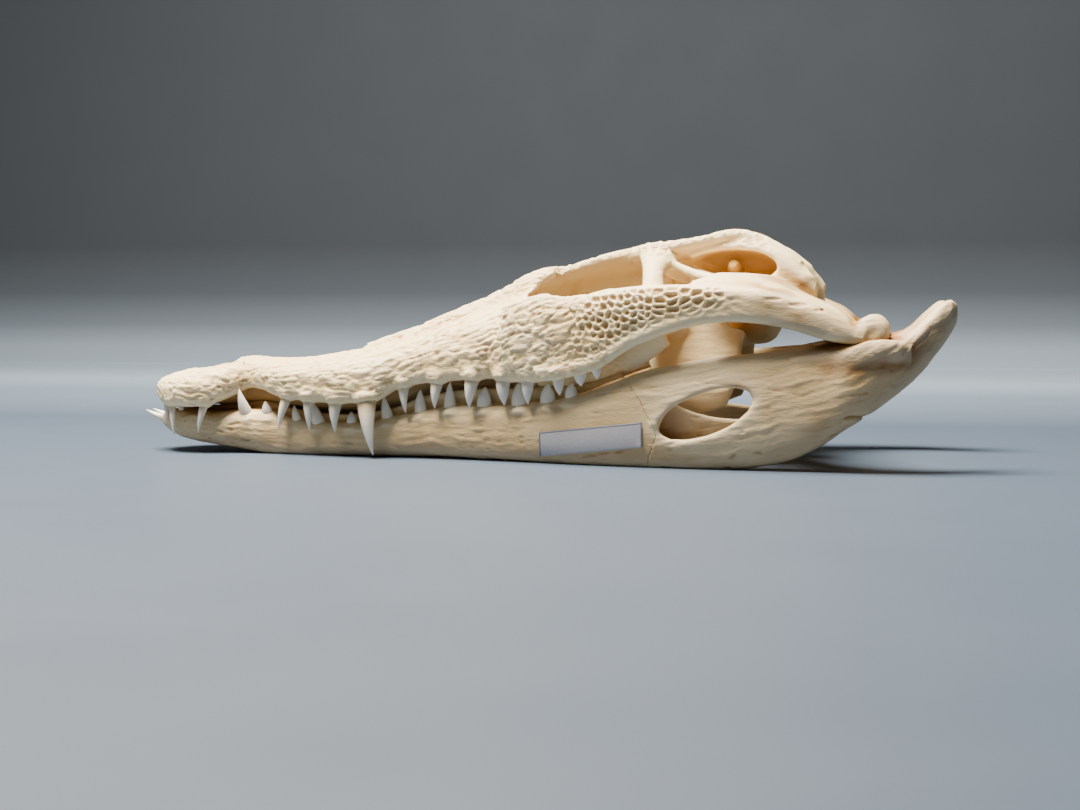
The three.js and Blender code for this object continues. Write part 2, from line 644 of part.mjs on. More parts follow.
// Names each piece of a parted solid after the seed point [s, y, z] that it holds.
const CRUMB = 60; // mm3; scraps that a cut leaves of an edge are dropped
function named(whole, seeds) {
  const left = whole.decompose().filter((piece) => piece.volume() > CRUMB);
  const found = Object.entries(seeds).map(([name, [s, y, z]]) => {
    const seed = box([s - 0.4, y - 0.4, z - 0.4], [s + 0.4, y + 0.4, z + 0.4]);
    const at = left.findIndex((p) => p.intersect(seed).volume() > 0.05);
    if (at < 0) throw new Error(`no bone holds the seed of ${name}`);
    return [name, left.splice(at, 1)[0]];
  });
  if (!left.length) return found;
  throw new Error(`bones without a name: ${left.map((p) => JSON.stringify(p.boundingBox()))}`);
}

const LEFT = -1;
const RIGHT = 1;
const MIDDLE = 30; // the roof and the palate lie within this distance of the midline
const bones = [];

// The hind bones: each is cut clear of those before it.
let taken = null;
const hind = [
  ["skull_table", table],
  ["braincase", braincase],
  ["quadrate_left", quadrate(LEFT)],
  ["quadrate_right", quadrate(RIGHT)],
  ["pterygoid_left", pterygoid(LEFT)],
  ["pterygoid_right", pterygoid(RIGHT)],
];
for (const [name, make] of hind) {
  const whole = taken ? make(0).subtract(taken) : make(0);
  const pieces = whole.decompose().sort((a, b) => b.volume() - a.volume());
  bones.push([name, pieces[0]]);
  const grown = make(BONE_GAP);
  taken = taken ? taken.add(grown) : grown;
}

const front = union([
  snout(),
  cheek(LEFT, 0),
  cheek(RIGHT, 0),
  lengthwise(ROOF, { rings: 7, sides: 8, n: 2.6 }),
  lengthwise(CREST, { rings: 4, sides: 6 }),
  lengthwise(PALATINES, { rings: 6, sides: 6, n: 2.6 }),
  ...BOTH.map((side) => strut(POSTORBITAL_BAR, { rings: 4, sides: 6, across: [1, 0, 0], side })),
  ...BOTH.map((side) => strut(PREFRONTAL_PILLAR, { rings: 3, sides: 6, across: [1, 0, 0], side })),
  ...BOTH.map((side) => teeth(UPPER_TEETH, side)),
]);
const lowerRooms = union(BOTH.map((side) => toothRooms(LOWER_TEETH, side)));
const PREMAXILLA_BACK = 50;
const PALATE_FRONT = 198.5;
const ROOF_FRONT = 205;
const ROOF_HEIGHT = 67; // the roof ends over this height, and the palate under it
const [UNDER, OVER] = [8, 110]; // heights below and above all of the upper jaw
const MAXILLA_BACK = [[217, OVER], [217, 86], [250, 38]]; // the maxilla ends on the jugal
const MAXILLA_INSIDE = [
  [PALATE_FRONT, UNDER],
  [PALATE_FRONT, ROOF_HEIGHT],
  [ROOF_FRONT, ROOF_HEIGHT + 0.2],
  [ROOF_FRONT, OVER],
];
const besideMiddle = (side) => {
  return box([PALATE_FRONT - 0.1, MIDDLE - SUTURE, UNDER], [222, MIDDLE, OVER], side);
};
const sutures = union([
  sutureWall([[PREMAXILLA_BACK, UNDER], [PREMAXILLA_BACK, 60]], -FAR, FAR),
  sutureWall(MAXILLA_INSIDE, -MIDDLE, MIDDLE),
  sutureWall([[ROOF_FRONT - 1, ROOF_HEIGHT], [232, ROOF_HEIGHT]], -MIDDLE, MIDDLE),
  sutureWall(MAXILLA_BACK, -FAR, -MIDDLE),
  sutureWall(MAXILLA_BACK, MIDDLE, FAR),
  ...BOTH.map(besideMiddle),
  box([PREMAXILLA_BACK - 0.1, -SUTURE / 2, UNDER], [ROOF_FRONT + 0.1, SUTURE / 2, OVER]),
]);
bones.push(
  ...named(front.subtract(sutures).subtract(taken).subtract(lowerRooms), {
    premaxilla: [20, 20, 36],
    maxilla_left: [110, -20, 42],
    maxilla_right: [110, 20, 42],
    skull_roof: [235, 0, 94],
    palate: [230, 0, 50],
    jugal_left: [290, -69, 75],
    jugal_right: [290, 69, 75],
  }),
);

const DENTARY_BACK = [[238, 64], [250, 44], [265.5, 21], [267, 14], [261, -5]];
for (const [label, side] of [["left", LEFT], ["right", RIGHT]]) {
  const clear = lowerJaw(side).subtract(toothRooms(UPPER_TEETH, side));
  const jaw = clear.add(teeth(LOWER_TEETH, side));
  const parted = jaw.subtract(sutureWall(DENTARY_BACK, -FAR, FAR));
  bones.push(
    ...named(parted, {
      ["dentary_" + label]: [150, side * 30, 12],
      ["jaw_back_" + label]: [350, side * 67, 40],
    }),
  );
}

// ---- the paper label on the left half of the lower jaw ---------------------------------------------
const LABEL = { start: 210, length: 50.6, low: 3.3, height: 11.7, rise: 0.122, thickness: 0.6 };

// How far from the midline the jaw's outer surface is at s and z.
function jawOutside(s, z) {
  const [, w, half, bottom, widest, top] = jawAt(s);
  const y = (z - widest) / (z > widest ? top - widest : widest - bottom);
  return w + half * (1 - Math.min(0.97, Math.abs(y)) ** JAW_FULLNESS) ** (1 / JAW_FULLNESS);
}

function label() {
  const [along, up] = [6, 2]; // cells each way
  const points = [BONE_GAP, BONE_GAP + LABEL.thickness].flatMap((out) => {
    return Array.from({ length: (along + 1) * (up + 1) }, (_, i) => {
      const s = LABEL.start + (LABEL.length * Math.floor(i / (up + 1))) / along;
      const z = LABEL.low + LABEL.rise * (s - LABEL.start) + (LABEL.height * (i % (up + 1))) / up;
      return [s, jawOutside(s, z) + out, z];
    });
  });
  const at = (layer, i, j) => layer * (along + 1) * (up + 1) + i * (up + 1) + j;
  const triangles = [];
  const quad = (a, b, c, d) => triangles.push([a, b, c], [a, c, d]);
  for (let i = 0; i < along; i++) {
    for (let j = 0; j < up; j++) {
      quad(at(0, i, j), at(0, i + 1, j), at(0, i + 1, j + 1), at(0, i, j + 1));
      quad(at(1, i, j), at(1, i, j + 1), at(1, i + 1, j + 1), at(1, i + 1, j));
    }
    quad(at(0, i, 0), at(1, i, 0), at(1, i + 1, 0), at(0, i + 1, 0));
    quad(at(0, i, up), at(0, i + 1, up), at(1, i + 1, up), at(1, i, up));
  }
  for (let j = 0; j < up; j++) {
    quad(at(0, 0, j), at(0, 0, j + 1), at(1, 0, j + 1), at(1, 0, j));
    quad(at(0, along, j), at(1, along, j), at(1, along, j + 1), at(0, along, j + 1));
  }
  return solidOf(points, triangles, LEFT);
}

// ---- assembly ------------------------------------------------------------------------------------
function meshOf(name, solid, finish) {
  const { numProp, vertProperties, triVerts } = solid.getMesh();
  if (numProp !== 3) throw new Error("a solid carries more than its points");
  const geometry = new THREE.BufferGeometry();
  geometry.setAttribute("position", new THREE.BufferAttribute(vertProperties, 3));
  geometry.setIndex(new THREE.BufferAttribute(triVerts, 1));
  geometry.computeVertexNormals();
  const mesh = new THREE.Mesh(geometry, new THREE.MeshStandardMaterial(finish));
  mesh.name = name;
  return mesh;
}

const skull = new THREE.Group();
for (const [name, solid] of bones) skull.add(meshOf(name, solid, BONE));
skull.add(meshOf("label", label(), PAPER));

const extent = new THREE.Box3().setFromObject(skull);
const middle = extent.getCenter(new THREE.Vector3());
skull.position.set(-middle.x, -middle.y, -extent.min.z);

const model = new THREE.Group();
model.add(skull);
export default model;
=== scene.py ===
"""A crocodile skull with its lower jaw closed under it, cleaned and dry, on a pale table.

Lengths are in millimetres, in the skull's own terms: s runs back from the snout tip, w is the
distance from the midline and z the height over the table. They become metres when a mesh is made.
"""

import bpy
import numpy as np
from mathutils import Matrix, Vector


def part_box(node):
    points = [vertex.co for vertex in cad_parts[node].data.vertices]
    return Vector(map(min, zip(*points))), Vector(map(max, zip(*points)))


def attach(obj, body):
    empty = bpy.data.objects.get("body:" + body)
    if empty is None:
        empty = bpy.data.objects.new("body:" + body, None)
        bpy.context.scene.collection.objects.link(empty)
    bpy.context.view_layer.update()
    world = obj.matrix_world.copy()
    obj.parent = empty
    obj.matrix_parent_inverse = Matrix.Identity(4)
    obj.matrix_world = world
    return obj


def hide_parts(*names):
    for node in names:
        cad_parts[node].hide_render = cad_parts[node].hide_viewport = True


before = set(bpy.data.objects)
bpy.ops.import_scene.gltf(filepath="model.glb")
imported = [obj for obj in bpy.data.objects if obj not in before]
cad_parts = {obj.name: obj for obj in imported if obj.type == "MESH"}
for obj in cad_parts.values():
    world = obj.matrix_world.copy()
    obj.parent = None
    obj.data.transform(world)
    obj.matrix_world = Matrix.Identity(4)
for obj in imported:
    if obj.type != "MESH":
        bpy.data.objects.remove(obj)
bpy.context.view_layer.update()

import openvdb
from mathutils import Vector

# ---- the snout ------------------------------------------------------------------------------------
# The premaxillae carry the nostril and the front teeth, and the maxillae most of the upper jaw.
# The bone is one domed tube, flat below with the palate arched up between the tooth rows.

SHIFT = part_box("label")[0].x * 1000 - 210  # the label starts at s = 210
VOXEL = 0.6  # the bones are worked out as distances on a grid this fine
BAND = 7  # voxels either side of a surface in which its distance is known
LOW = np.array([-12.0, -3 * VOXEL, -3.0])  # the grid covers the right half, and the left mirrors it
COUNT = np.array([698, 147, 197])


def through(rows, t):
    """Rows of numbers read at t, 0 at the first row and 1 at the last, by a Catmull-Rom spline."""
    rows = np.asarray(rows, float)
    at = np.clip(np.asarray(t) * (len(rows) - 1), 0, len(rows) - 1 - 1e-9)
    i = np.floor(at).astype(int)
    f = (at - i)[:, None]
    a, b, c, d = (rows[np.clip(i + k, 0, len(rows) - 1)] for k in (-1, 0, 1, 2))
    return b + 0.5 * f * (c - a + f * (2 * a - 5 * b + 4 * c - d + f * (3 * (b - c) + d - a)))


def squared(x, n):
    """A circle's cosine or sine turned into that of a squarer oval of exponent n."""
    return np.sign(x) * np.abs(x) ** (2 / n)


def lengthwise(rows, n=2.4, under=None, step=1.0, sides=72):
    """The field of a bone along the skull. Rows are s, w, half width, and bottom, widest and top z,
    and each ring is an upright oval of exponent n above its widest line and under below."""
    rows = np.asarray(rows, float)
    count = int(abs(rows[-1, 0] - rows[0, 0]) / step) + 2
    s, w, half, bottom, widest, top = through(rows, np.linspace(0, 1, count)).T[:, :, None]
    angle = 2 * np.pi * np.arange(sides) / sides
    full = np.where(np.sin(angle) < 0, under or n, n)
    x, y = squared(np.cos(angle), full), squared(np.sin(angle), full)
    z = widest + y * np.where(y > 0, top - widest, widest - bottom)
    return solid(np.stack([s + 0 * x, w + half * x, z], -1))


def strut(rows, across=(0, 1, 0), n=2.0, count=None, sides=48):
    """The field of a bone along any path. Rows are s, w, z and two half sizes, the first in the
    direction across and the second square to it and to the path."""
    rows = np.asarray(rows, float)
    run = np.linalg.norm(np.diff(rows[:, :3], axis=0), axis=1).sum()
    t = np.linspace(0, 1, count or int(run) + 4)
    s = through(rows, t)
    after, before = (through(rows, np.clip(t + step, 0, 1))[:, :3] for step in (0.02, -0.02))
    ahead = (after - before) / np.linalg.norm(after - before, axis=1)[:, None]
    u = np.asarray(across, float) - ahead * (ahead @ np.asarray(across, float))[:, None]
    u /= np.linalg.norm(u, axis=1)[:, None]
    v = np.cross(ahead, u)
    angle = 2 * np.pi * np.arange(sides) / sides
    x, y = squared(np.cos(angle), n), squared(np.sin(angle), n)
    a, b = s[:, 3][:, None, None], s[:, 4][:, None, None]
    return solid(s[:, None, :3] + a * x[:, None] * u[:, None] + b * y[:, None] * v[:, None])


def capped(rings):
    """Rings of points as one closed mesh: its points, quads along it and triangles over its ends."""
    many, sides = rings.shape[:2]
    points = np.vstack([rings.reshape(-1, 3), rings[0].mean(0), rings[-1].mean(0)])
    i = np.arange(many - 1)[:, None] * sides
    k, after = np.arange(sides), (np.arange(sides) + 1) % sides
    quads = np.stack([i + k, i + after, i + sides + after, i + sides + k], -1).reshape(-1, 4)
    last = (many - 1) * sides
    first_cap = np.stack([after, k, np.full(sides, many * sides)], -1)
    last_cap = np.stack([last + k, last + after, np.full(sides, many * sides + 1)], -1)
    return points, quads, np.vstack([first_cap, last_cap])


class Field:
    """Signed distances in mm, below zero inside, on the part of the grid from corner to corner."""

    def __init__(self, low, values):
        self.low, self.values = low, values

    def window(self, low, high, fill):
        """The values on another part of the grid, with fill where this field holds none."""
        out = np.full(high - low, fill, np.float32)
        a = np.maximum(low, self.low)
        b = np.minimum(high, self.low + self.values.shape)
        if (b > a).all():
            into = tuple(slice(*p) for p in zip(a - low, b - low))
            out[into] = self.values[tuple(slice(*p) for p in zip(a - self.low, b - self.low))]
        return out


FAR = BAND * VOXEL


def solid(rings):
    """The distance field of the closed skin over rings of points."""
    points, quads, triangles = capped(rings)
    at = (points - LOW) / VOXEL
    low = np.maximum(np.floor(at.min(0)).astype(int) - BAND - 1, 0)
    high = np.minimum(np.ceil(at.max(0)).astype(int) + BAND + 2, COUNT)
    sign = np.sign(volume(at, quads, triangles))
    if sign < 0:
        quads, triangles = quads[:, ::-1], triangles[:, ::-1]
    grid = openvdb.FloatGrid.createLevelSetFromPolygons(
        at.astype(np.float32),
        triangles=np.ascontiguousarray(triangles.astype(np.uint32)),
        quads=np.ascontiguousarray(quads.astype(np.uint32)),
        transform=openvdb.createLinearTransform(1.0),
        halfWidth=float(BAND),
    )
    values = np.empty(high - low, np.float32)
    grid.copyToArray(values, ijk=tuple(int(i) for i in low))
    return Field(low, values * VOXEL)


def volume(points, quads, triangles):
    """Six times the volume in a closed mesh, from the sum over its triangles."""
    faces = np.vstack([quads[:, [0, 1, 2]], quads[:, [0, 2, 3]], triangles])
    a, b, c = (points[faces[:, i]] for i in range(3))
    return np.einsum("ij,ij->", a, np.cross(b, c))


def blended(a, b, k):
    """The smaller of two distances, rounded over k mm where they are alike."""
    h = np.maximum(k - np.abs(a - b), 0) / k
    return np.minimum(a, b) - 0.25 * k * h * h


def joined(fields, k=3.0):
    """One field of several that grow into each other with fillets of about k mm."""
    low = np.min([f.low for f in fields], 0)
    high = np.max([f.low + f.values.shape for f in fields], 0)
    out = Field(low, np.full(high - low, FAR, np.float32))
    for f in fields:
        part = tuple(slice(*p) for p in zip(f.low - low, f.low + f.values.shape - low))
        out.values[part] = blended(out.values[part], f.values, k)
    return out


def carved(field, tool, k=2.0):
    """The field with a tool's shape taken out of it, its rim rounded over k mm."""
    high = field.low + field.values.shape
    away = -tool.window(field.low, high, FAR)
    return Field(field.low, -blended(-field.values, -away, k))


SNOUT = [
    [0.6, 0, 6, 29.5, 32, 34.5],
    [4, 0, 15.5, 26.8, 31.5, 37.2],
    [13, 0, 24, 23.6, 30.5, 40.4],
    [25, 0, 28, 22.6, 30.5, 42.6],
    [37, 0, 27, 24.4, 32, 44.8],
    [46, 0, 21.5, 28.6, 35, 46.6],
    [53, 0, 17.6, 32.2, 37, 47.3],
    [61, 0, 21.5, 32, 37.5, 47.2],
    [71, 0, 27.5, 28.4, 36.5, 47.1],
    [85, 0, 32, 26.2, 36, 48.3],
    [100, 0, 36, 25.3, 36, 50.6],
    [115, 0, 39.8, 25.4, 36.5, 53.4],
    [127, 0, 39.8, 27.2, 38, 56.8],
    [136, 0, 37.6, 32.6, 41, 59.6],
    [146, 0, 38, 35.2, 43.5, 63.2],
    [160, 0, 41, 36.4, 46, 68.6],
    [175, 0, 45, 37.4, 48.5, 74.4],
    [190, 0, 49.5, 37.7, 51, 80.4],
    [204, 0, 54.5, 38.2, 54, 87],
    [214, 0, 56.5, 39, 56, 88],
]
ARCH = [[s, w, half - 7, -20, margin - 4, margin + 5.5] for s, w, half, margin, _, _ in SNOUT[2:]]
PALATE = [
    [13, 0, 12, 24.2, 28, 33],
    [25, 0, 15, 23.6, 28, 34],
    [37, 0, 14, 24, 29, 36],
    [53, 0, 9, 24.6, 31, 40],
    [71, 0, 14, 23, 30, 38],
    [90, 0, 18, 21.4, 29, 36],
    [110, 0, 21.5, 21, 29, 36],
    [130, 0, 22, 22.6, 32, 40],
    [146, 0, 21.5, 27.8, 37, 46],
    [160, 0, 23.5, 30.4, 40, 48],
    [190, 0, 28.7, 32.8, 42, 50],
    [202, 0, 28, 33.6, 42, 49],
    [209, 0, 20, 37, 43, 48],
    [214, 0, 8, 40.5, 43.6, 46.5],
]
CANTHUS = [
    [118, 15, 52, 4, 3], [150, 18, 62.8, 5, 3.6], [180, 21, 75, 5.5, 4], [204, 24, 86, 6, 4],
    [213, 24, 89, 5, 3.5],
]
NOSTRIL = [[32, 0, 33, 8, 7], [33, 0, 40, 10.5, 11.5], [34, 0, 56, 12, 14]]
NOSTRIL_RIM = [[46, 0, 44, 11, 2.6], [50, 0, 44.3, 12, 2.4], [54, 0, 44.2, 9, 2.2]]
SOCKET_FRONT = [
    [199, 32, 66, 7, 10], [211, 33, 68, 18, 17], [222, 34, 70, 21, 22], [236, 34, 72, 23, 24],
]

# s, w, z of the gum line and of the tip, and the width at the gum line.
UPPER_TEETH = [
    [9.5, 16.5, 24.6, 9.6, 17.6, 14.6, 2.8],
    [14, 20, 24, 15.4, 21.8, 8.2, 3.6],
    [32.5, 24.2, 24, 29.6, 25.4, 10.4, 4.2],
    [76.6, 26, 28, 72.9, 27.6, 12.4, 5],
    [89.6, 29.8, 27, 90.4, 31, 12.6, 5.6],
    [104.4, 33.4, 26.6, 104.5, 34.6, 12.2, 6.4],
    [121.4, 37, 27.4, 125.6, 40.6, 1.4, 9],
    [139.4, 34.4, 34.6, 140.8, 35.6, 22, 5.2],
    [156.8, 37.2, 37, 156, 38.6, 24.6, 5.8],
    [175.4, 42, 38.6, 174.2, 43, 25.4, 6.6],
    [191.6, 46.6, 39, 192.5, 47.6, 27.2, 6.6],
    [204.4, 50, 39.6, 204.6, 51, 28, 6.2],
    [219.8, 54, 41.8, 220.5, 55, 32.6, 5.6],
    [230.5, 56.4, 44.6, 231, 57.2, 37, 5.8],
    [238.4, 58.4, 48, 239, 59, 40.4, 5],
]


def sockets(teeth, depth):
    """The bone's collars round the teeth: a short swelling about each root, depth mm deep."""
    collars = []
    for s, w, z, s_tip, w_tip, z_tip, width in teeth:
        run = np.array([s_tip - s, w_tip - w, z_tip - z])
        run /= np.linalg.norm(run)
        r = 0.5 * width + 1.3
        rows = [[*(np.array([s, w, z]) - run * back), r * size, r * size] for back, size in
                [(depth, 0.5), (0.6 * depth, 0.95), (1.5, 1.0), (-0.4, 0.62)]]
        collars.append(strut(rows, across=(1, 0.01, 0), count=12, sides=24))
    return collars


snout = joined([lengthwise(SNOUT, n=2.6, under=5), strut(CANTHUS)], 5)
snout = carved(snout, lengthwise(ARCH, n=4), 3)
snout = joined([snout, lengthwise(PALATE, n=2.6)], 3)
snout = carved(snout, strut(SOCKET_FRONT), 3)
snout = joined([snout, strut(NOSTRIL_RIM)], 5)
snout = carved(snout, strut(NOSTRIL), 2.5)
snout = joined([snout, *sockets(UPPER_TEETH[:12], 6)], 2.5)

# ---- the cheek and the bar behind the eye ------------------------------------------------------
# The jugal is an arched bar under the eye and the temple, deeply pitted like a honeycomb, and the
# postorbital bar rises from its inner side to the skull table.

CHEEK = [
    [192, 44.5, 6, 38.5, 54, 74],
    [204, 48, 6.6, 38.6, 55, 78],
    [214, 51, 6.8, 39.4, 56, 79.5],
    [224, 54, 6.4, 41.2, 58, 78.4],
    [234, 57, 6, 44.6, 60.5, 79.6],
    [246, 60.5, 5.6, 50.6, 65, 82],
    [258, 63.5, 5.2, 57, 69.5, 83.4],
    [272, 66.5, 5, 62.4, 73, 84],
    [288, 69, 4.8, 66.6, 75.5, 83.8],
    [304, 71, 4.8, 68, 75.8, 82.8],
    [320, 72.5, 5, 66.6, 73.4, 80.4],
    [336, 73.5, 5.2, 61.6, 68.6, 75.6],
    [348, 74, 5, 58.2, 62.8, 68.4],
    [357, 73.5, 3.6, 57.4, 59.8, 62.4],
]
CHEEK_KEEL = [
    [210, 56, 42, 2, 3], [236, 61, 47, 2, 3], [256, 66, 58.5, 2, 2.6], [276, 69.5, 66, 2, 2.4],
    [300, 72, 70, 2, 2.2], [330, 74.5, 66.5, 2, 2],
]
EYE_BAR = [
    [265, 34, 99.5, 10, 4.6], [264.5, 41, 96, 8, 4.2], [264, 50, 90.5, 5, 3.8],
    [264.5, 57, 84.5, 4.8, 3.6], [265, 62, 78, 6.4, 3.2],
]

cheek = joined([lengthwise(CHEEK, n=2.8), strut(CHEEK_KEEL)], 3)
cheek = joined([cheek, *sockets(UPPER_TEETH[12:], 5)], 2.5)
eye_bar = strut(EYE_BAR, across=(1, 0, 0))

# ---- the skull roof and the palate -------------------------------------------------------------
# The frontal and prefrontals roof the skull between the eye sockets, with raised rims, and two
# thin pillars join them to the palatines below.

ROOF = [
    [186, 0, 26, 70, 75, 79],
    [200, 0, 28, 75, 81, 85.4],
    [208, 0, 26, 79.5, 86, 89.2],
    [218, 0, 19, 84, 90, 92.2],
    [230, 0, 14.5, 88, 94.6, 96],
    [242, 0, 14.5, 91, 98, 99.2],
    [252, 0, 20, 93, 100, 101.4],
    [262, 0, 30, 94.5, 101, 102.8],
]
BROW = [
    [196, 25, 83, 3, 3], [206, 23.5, 87.5, 3.4, 3], [215, 18.5, 90.5, 2.6, 2.4],
    [226, 14.2, 94.2, 2.2, 2.2], [240, 13, 98, 2, 2.2], [250, 16, 100, 2, 2.2],
    [256, 22, 100.6, 2.2, 2.4],
]
PILLAR = [
    [211, 13, 88, 7, 3.4], [213, 11, 76, 4.4, 2.6], [214, 9.5, 64, 4.4, 2.6], [214, 9, 54, 7, 3.4],
]
CREST = [
    [206, 0, 13, 73.5, 79, 86],
    [218, 0, 10, 77, 84, 91],
    [232, 0, 9.5, 79, 87, 95],
    [246, 0, 10.5, 78.5, 89, 98],
    [258, 0, 13, 78, 90, 100],
    [268, 0, 14, 80, 90, 100],
]
PALATINES = [
    [180, 0, 15, 42, 46, 56],
    [196, 0, 14, 43, 47.5, 58],
    [212, 0, 11.5, 43.6, 48.5, 57],
    [232, 0, 10.5, 45, 50, 57],
    [250, 0, 13, 47, 52, 58],
    [266, 0, 18, 49, 54, 60],
    [282, 0, 18, 51, 57, 66],
    [298, 0, 15, 52, 60, 72],
]

roof = joined([lengthwise(ROOF, n=3), lengthwise(CREST), strut(BROW), strut(PILLAR, across=(1, 0, 0))], 3)
palatines = lengthwise(PALATINES, n=2.6)

# ---- the skull table and the ear pocket -----------------------------------------------------------
# A flat, square plate of bone with a round hole on each side. Its hind corners come down over the
# ear as a thick wall, and leave a smooth, deep pocket in front of them with a thin wall behind it.

TABLE = [
    [250, 0, 29, 95.5, 99.5, 100.6],
    [258, 0, 35, 95.2, 99.8, 102],
    [270, 0, 37.5, 95.6, 100.6, 103.2],
    [285, 0, 40, 97.6, 102.6, 105.6],
    [299, 0, 42.5, 100.2, 106, 109.2],
    [309, 0, 43.5, 99, 105.2, 108.4],
    [316, 0, 42.5, 97, 101.6, 104.8],
    [320, 0, 39, 95, 98, 100.6],
]
EAR_WALL = [
    [280, 36, 4, 94, 98, 101],
    [290, 37, 7, 88, 97, 103],
    [304, 40, 9.5, 82, 94, 106],
    [316, 42.5, 10.5, 80, 91, 104],
    [326, 45, 9.5, 78, 87, 98.5],
    [333, 47.5, 8, 77, 83, 91],
    [338.5, 49, 5, 77, 80, 84.5],
]
EAR_POCKET = [
    [280.5, 44, 9, 94.2, 95.4, 96.6],
    [287, 44, 13, 90.6, 94.8, 99],
    [297, 45, 14.5, 87.8, 94.2, 100.6],
    [309, 46, 15, 86.6, 93.2, 100],
    [317.5, 46, 12.5, 87.6, 92.2, 97],
    [321, 45, 8, 89.8, 92, 94.2],
]
TEMPLE_HOLE = [
    [284, 20.5, 88, 12, 8.6], [284, 20.5, 99, 11.4, 8.2], [284, 20.5, 104, 12.6, 9.4],
    [284, 20.5, 113, 15, 12],
]
TABLE_EDGE = [
    [256, 35, 100.4, 2.4, 2.2], [270, 38.4, 102, 2.6, 2.4], [285, 41, 104.2, 2.6, 2.4],
    [299, 43.4, 107, 2.6, 2.4], [309, 44, 105.8, 2.6, 2.4], [320, 44.5, 100.4, 3, 3],
    [330, 47, 92.5, 3, 3],
]

EAR_BACK = [
    [266, 29.5, 95, 1.6, 5], [276, 29.5, 93, 1.8, 8], [292, 29.5, 91, 1.8, 10],
    [308, 30, 91, 1.8, 10], [318, 31, 90, 1.8, 8],
]

ear_pocket = lengthwise(EAR_POCKET, n=2.2)
table = joined([lengthwise(TABLE, n=4.5), strut(TABLE_EDGE), lengthwise(EAR_WALL, n=2.8)], 3)
table = carved(table, strut(TEMPLE_HOLE, across=(1, 0, 0)), 2.5)
table = joined([table, strut(EAR_BACK)], 2)

# ---- the braincase -----------------------------------------------------------------------------
# The box round the brain hangs under the table, ends behind in the ball that carried the neck, and
# spreads two wings to the ear walls.

BRAINCASE = [
    [262, 0, 8, 74, 87, 99],
    [274, 0, 13, 68, 86, 99],
    [286, 0, 17, 62, 84, 100],
    [298, 0, 21, 57, 82, 102],
    [308, 0, 25, 56, 82, 102],
    [316, 0, 27, 58, 83, 99],
    [320, 0, 22, 64, 83, 96],
]
NECK_BALL = [
    [312, 0, 80, 9, 8], [320, 0, 79, 7.4, 6.6], [325, 0, 78.4, 8, 7.2], [330, 0, 78, 6.6, 6],
    [333, 0, 77.6, 2.6, 2.4],
]
SPINAL_HOLE = [[306, 0, 93, 6, 4.5], [314, 0, 92, 6, 4.6], [330, 0, 92, 7.5, 5.5]]
OCCIPUT_WING = [
    [314, 12, 86, 11, 4], [320, 26, 88, 10.5, 4], [328, 40, 86, 9.5, 4.2], [334, 50, 81, 7, 4.4],
]

wing = strut(OCCIPUT_WING, across=(0, 0, 1))
braincase = joined([lengthwise(BRAINCASE, n=2.6), strut(NECK_BALL), wing], 4)
braincase = carved(braincase, strut(SPINAL_HOLE), 2)

# ---- the quadrates -----------------------------------------------------------------------------
# Each quadrate slopes down and back from the braincase to the roller of the jaw joint. A thin
# sheet joins its outer edge to the cheek, and a spine runs forward under the ear pocket.

QUADRATE = [
    [286, 28, 86, 11, 6.5],
    [300, 38, 83.4, 15, 6.6],
    [315, 48, 79.4, 17.5, 6.2],
    [330, 56.5, 73.6, 17.5, 5.8],
    [344, 62, 68.4, 14.5, 5.8],
    [354, 65, 61.8, 12.8, 4.2],
    [361, 66, 59.4, 11.5, 4],
]
EAR_KNOB = [[300, 33, 90, 4, 4], [300, 38, 93, 2.7, 2.7], [300, 42, 94, 1.2, 1.2]]
QUADRATE_SPINE = [
    [308, 56, 83, 4, 4.6], [296, 52, 85.2, 3, 3.2], [284, 48, 88.6, 2, 2.1],
    [274, 44, 92.6, 1.7, 1.8], [266, 41, 96.5, 2.6, 2.8],
]
CHEEK_SHEET = [
    [284, 66, 83.5, 2.5, 1.6], [296, 63.5, 84.8, 8, 2.2], [308, 63, 84, 11, 2.6],
    [320, 65, 80.4, 10.5, 3], [334, 68, 74.6, 7, 3.2], [347, 69.5, 67, 5, 3.6],
    [357, 70, 60.6, 3.6, 3.2],
]
JOINT = {"s": 364, "w": 65, "z": 61.6, "radius": 7.4, "half_width": 11.5}
ROLLER = [[-1, 0.45], [-0.86, 0.86], [-0.5, 1.02], [0, 0.9], [0.5, 1.04], [0.88, 0.86], [1, 0.45]]


def roller(grow=0.0):
    """The jaw joint's roller across the jaw, two bosses with a waist between them, grown by mm."""
    half_width, rows = JOINT["half_width"] + grow, []
    for x, r in ROLLER:
        radius = JOINT["radius"] * r + grow
        rows.append([JOINT["s"], JOINT["w"] + half_width * x, JOINT["z"] + 1.2 * x, radius, radius])
    return strut(rows, across=(1, 0, 0))


ear_knob = strut(EAR_KNOB, across=(1, 0, 0))
quadrate = joined(
    [
        strut(QUADRATE, across=(0.35, 1, 0), n=2.6),
        strut(QUADRATE_SPINE),
        strut(CHEEK_SHEET, across=(0, 1, -0.5), n=2.6),
        ear_knob,
        roller(),
    ],
    3.5,
)

# ---- the pterygoids ----------------------------------------------------------------------------
# A level plate behind the palate carries on each side a broad wing that hangs down inside the
# lower jaw, braced to the cheek by the ectopterygoid, whose foot backs the hind teeth.

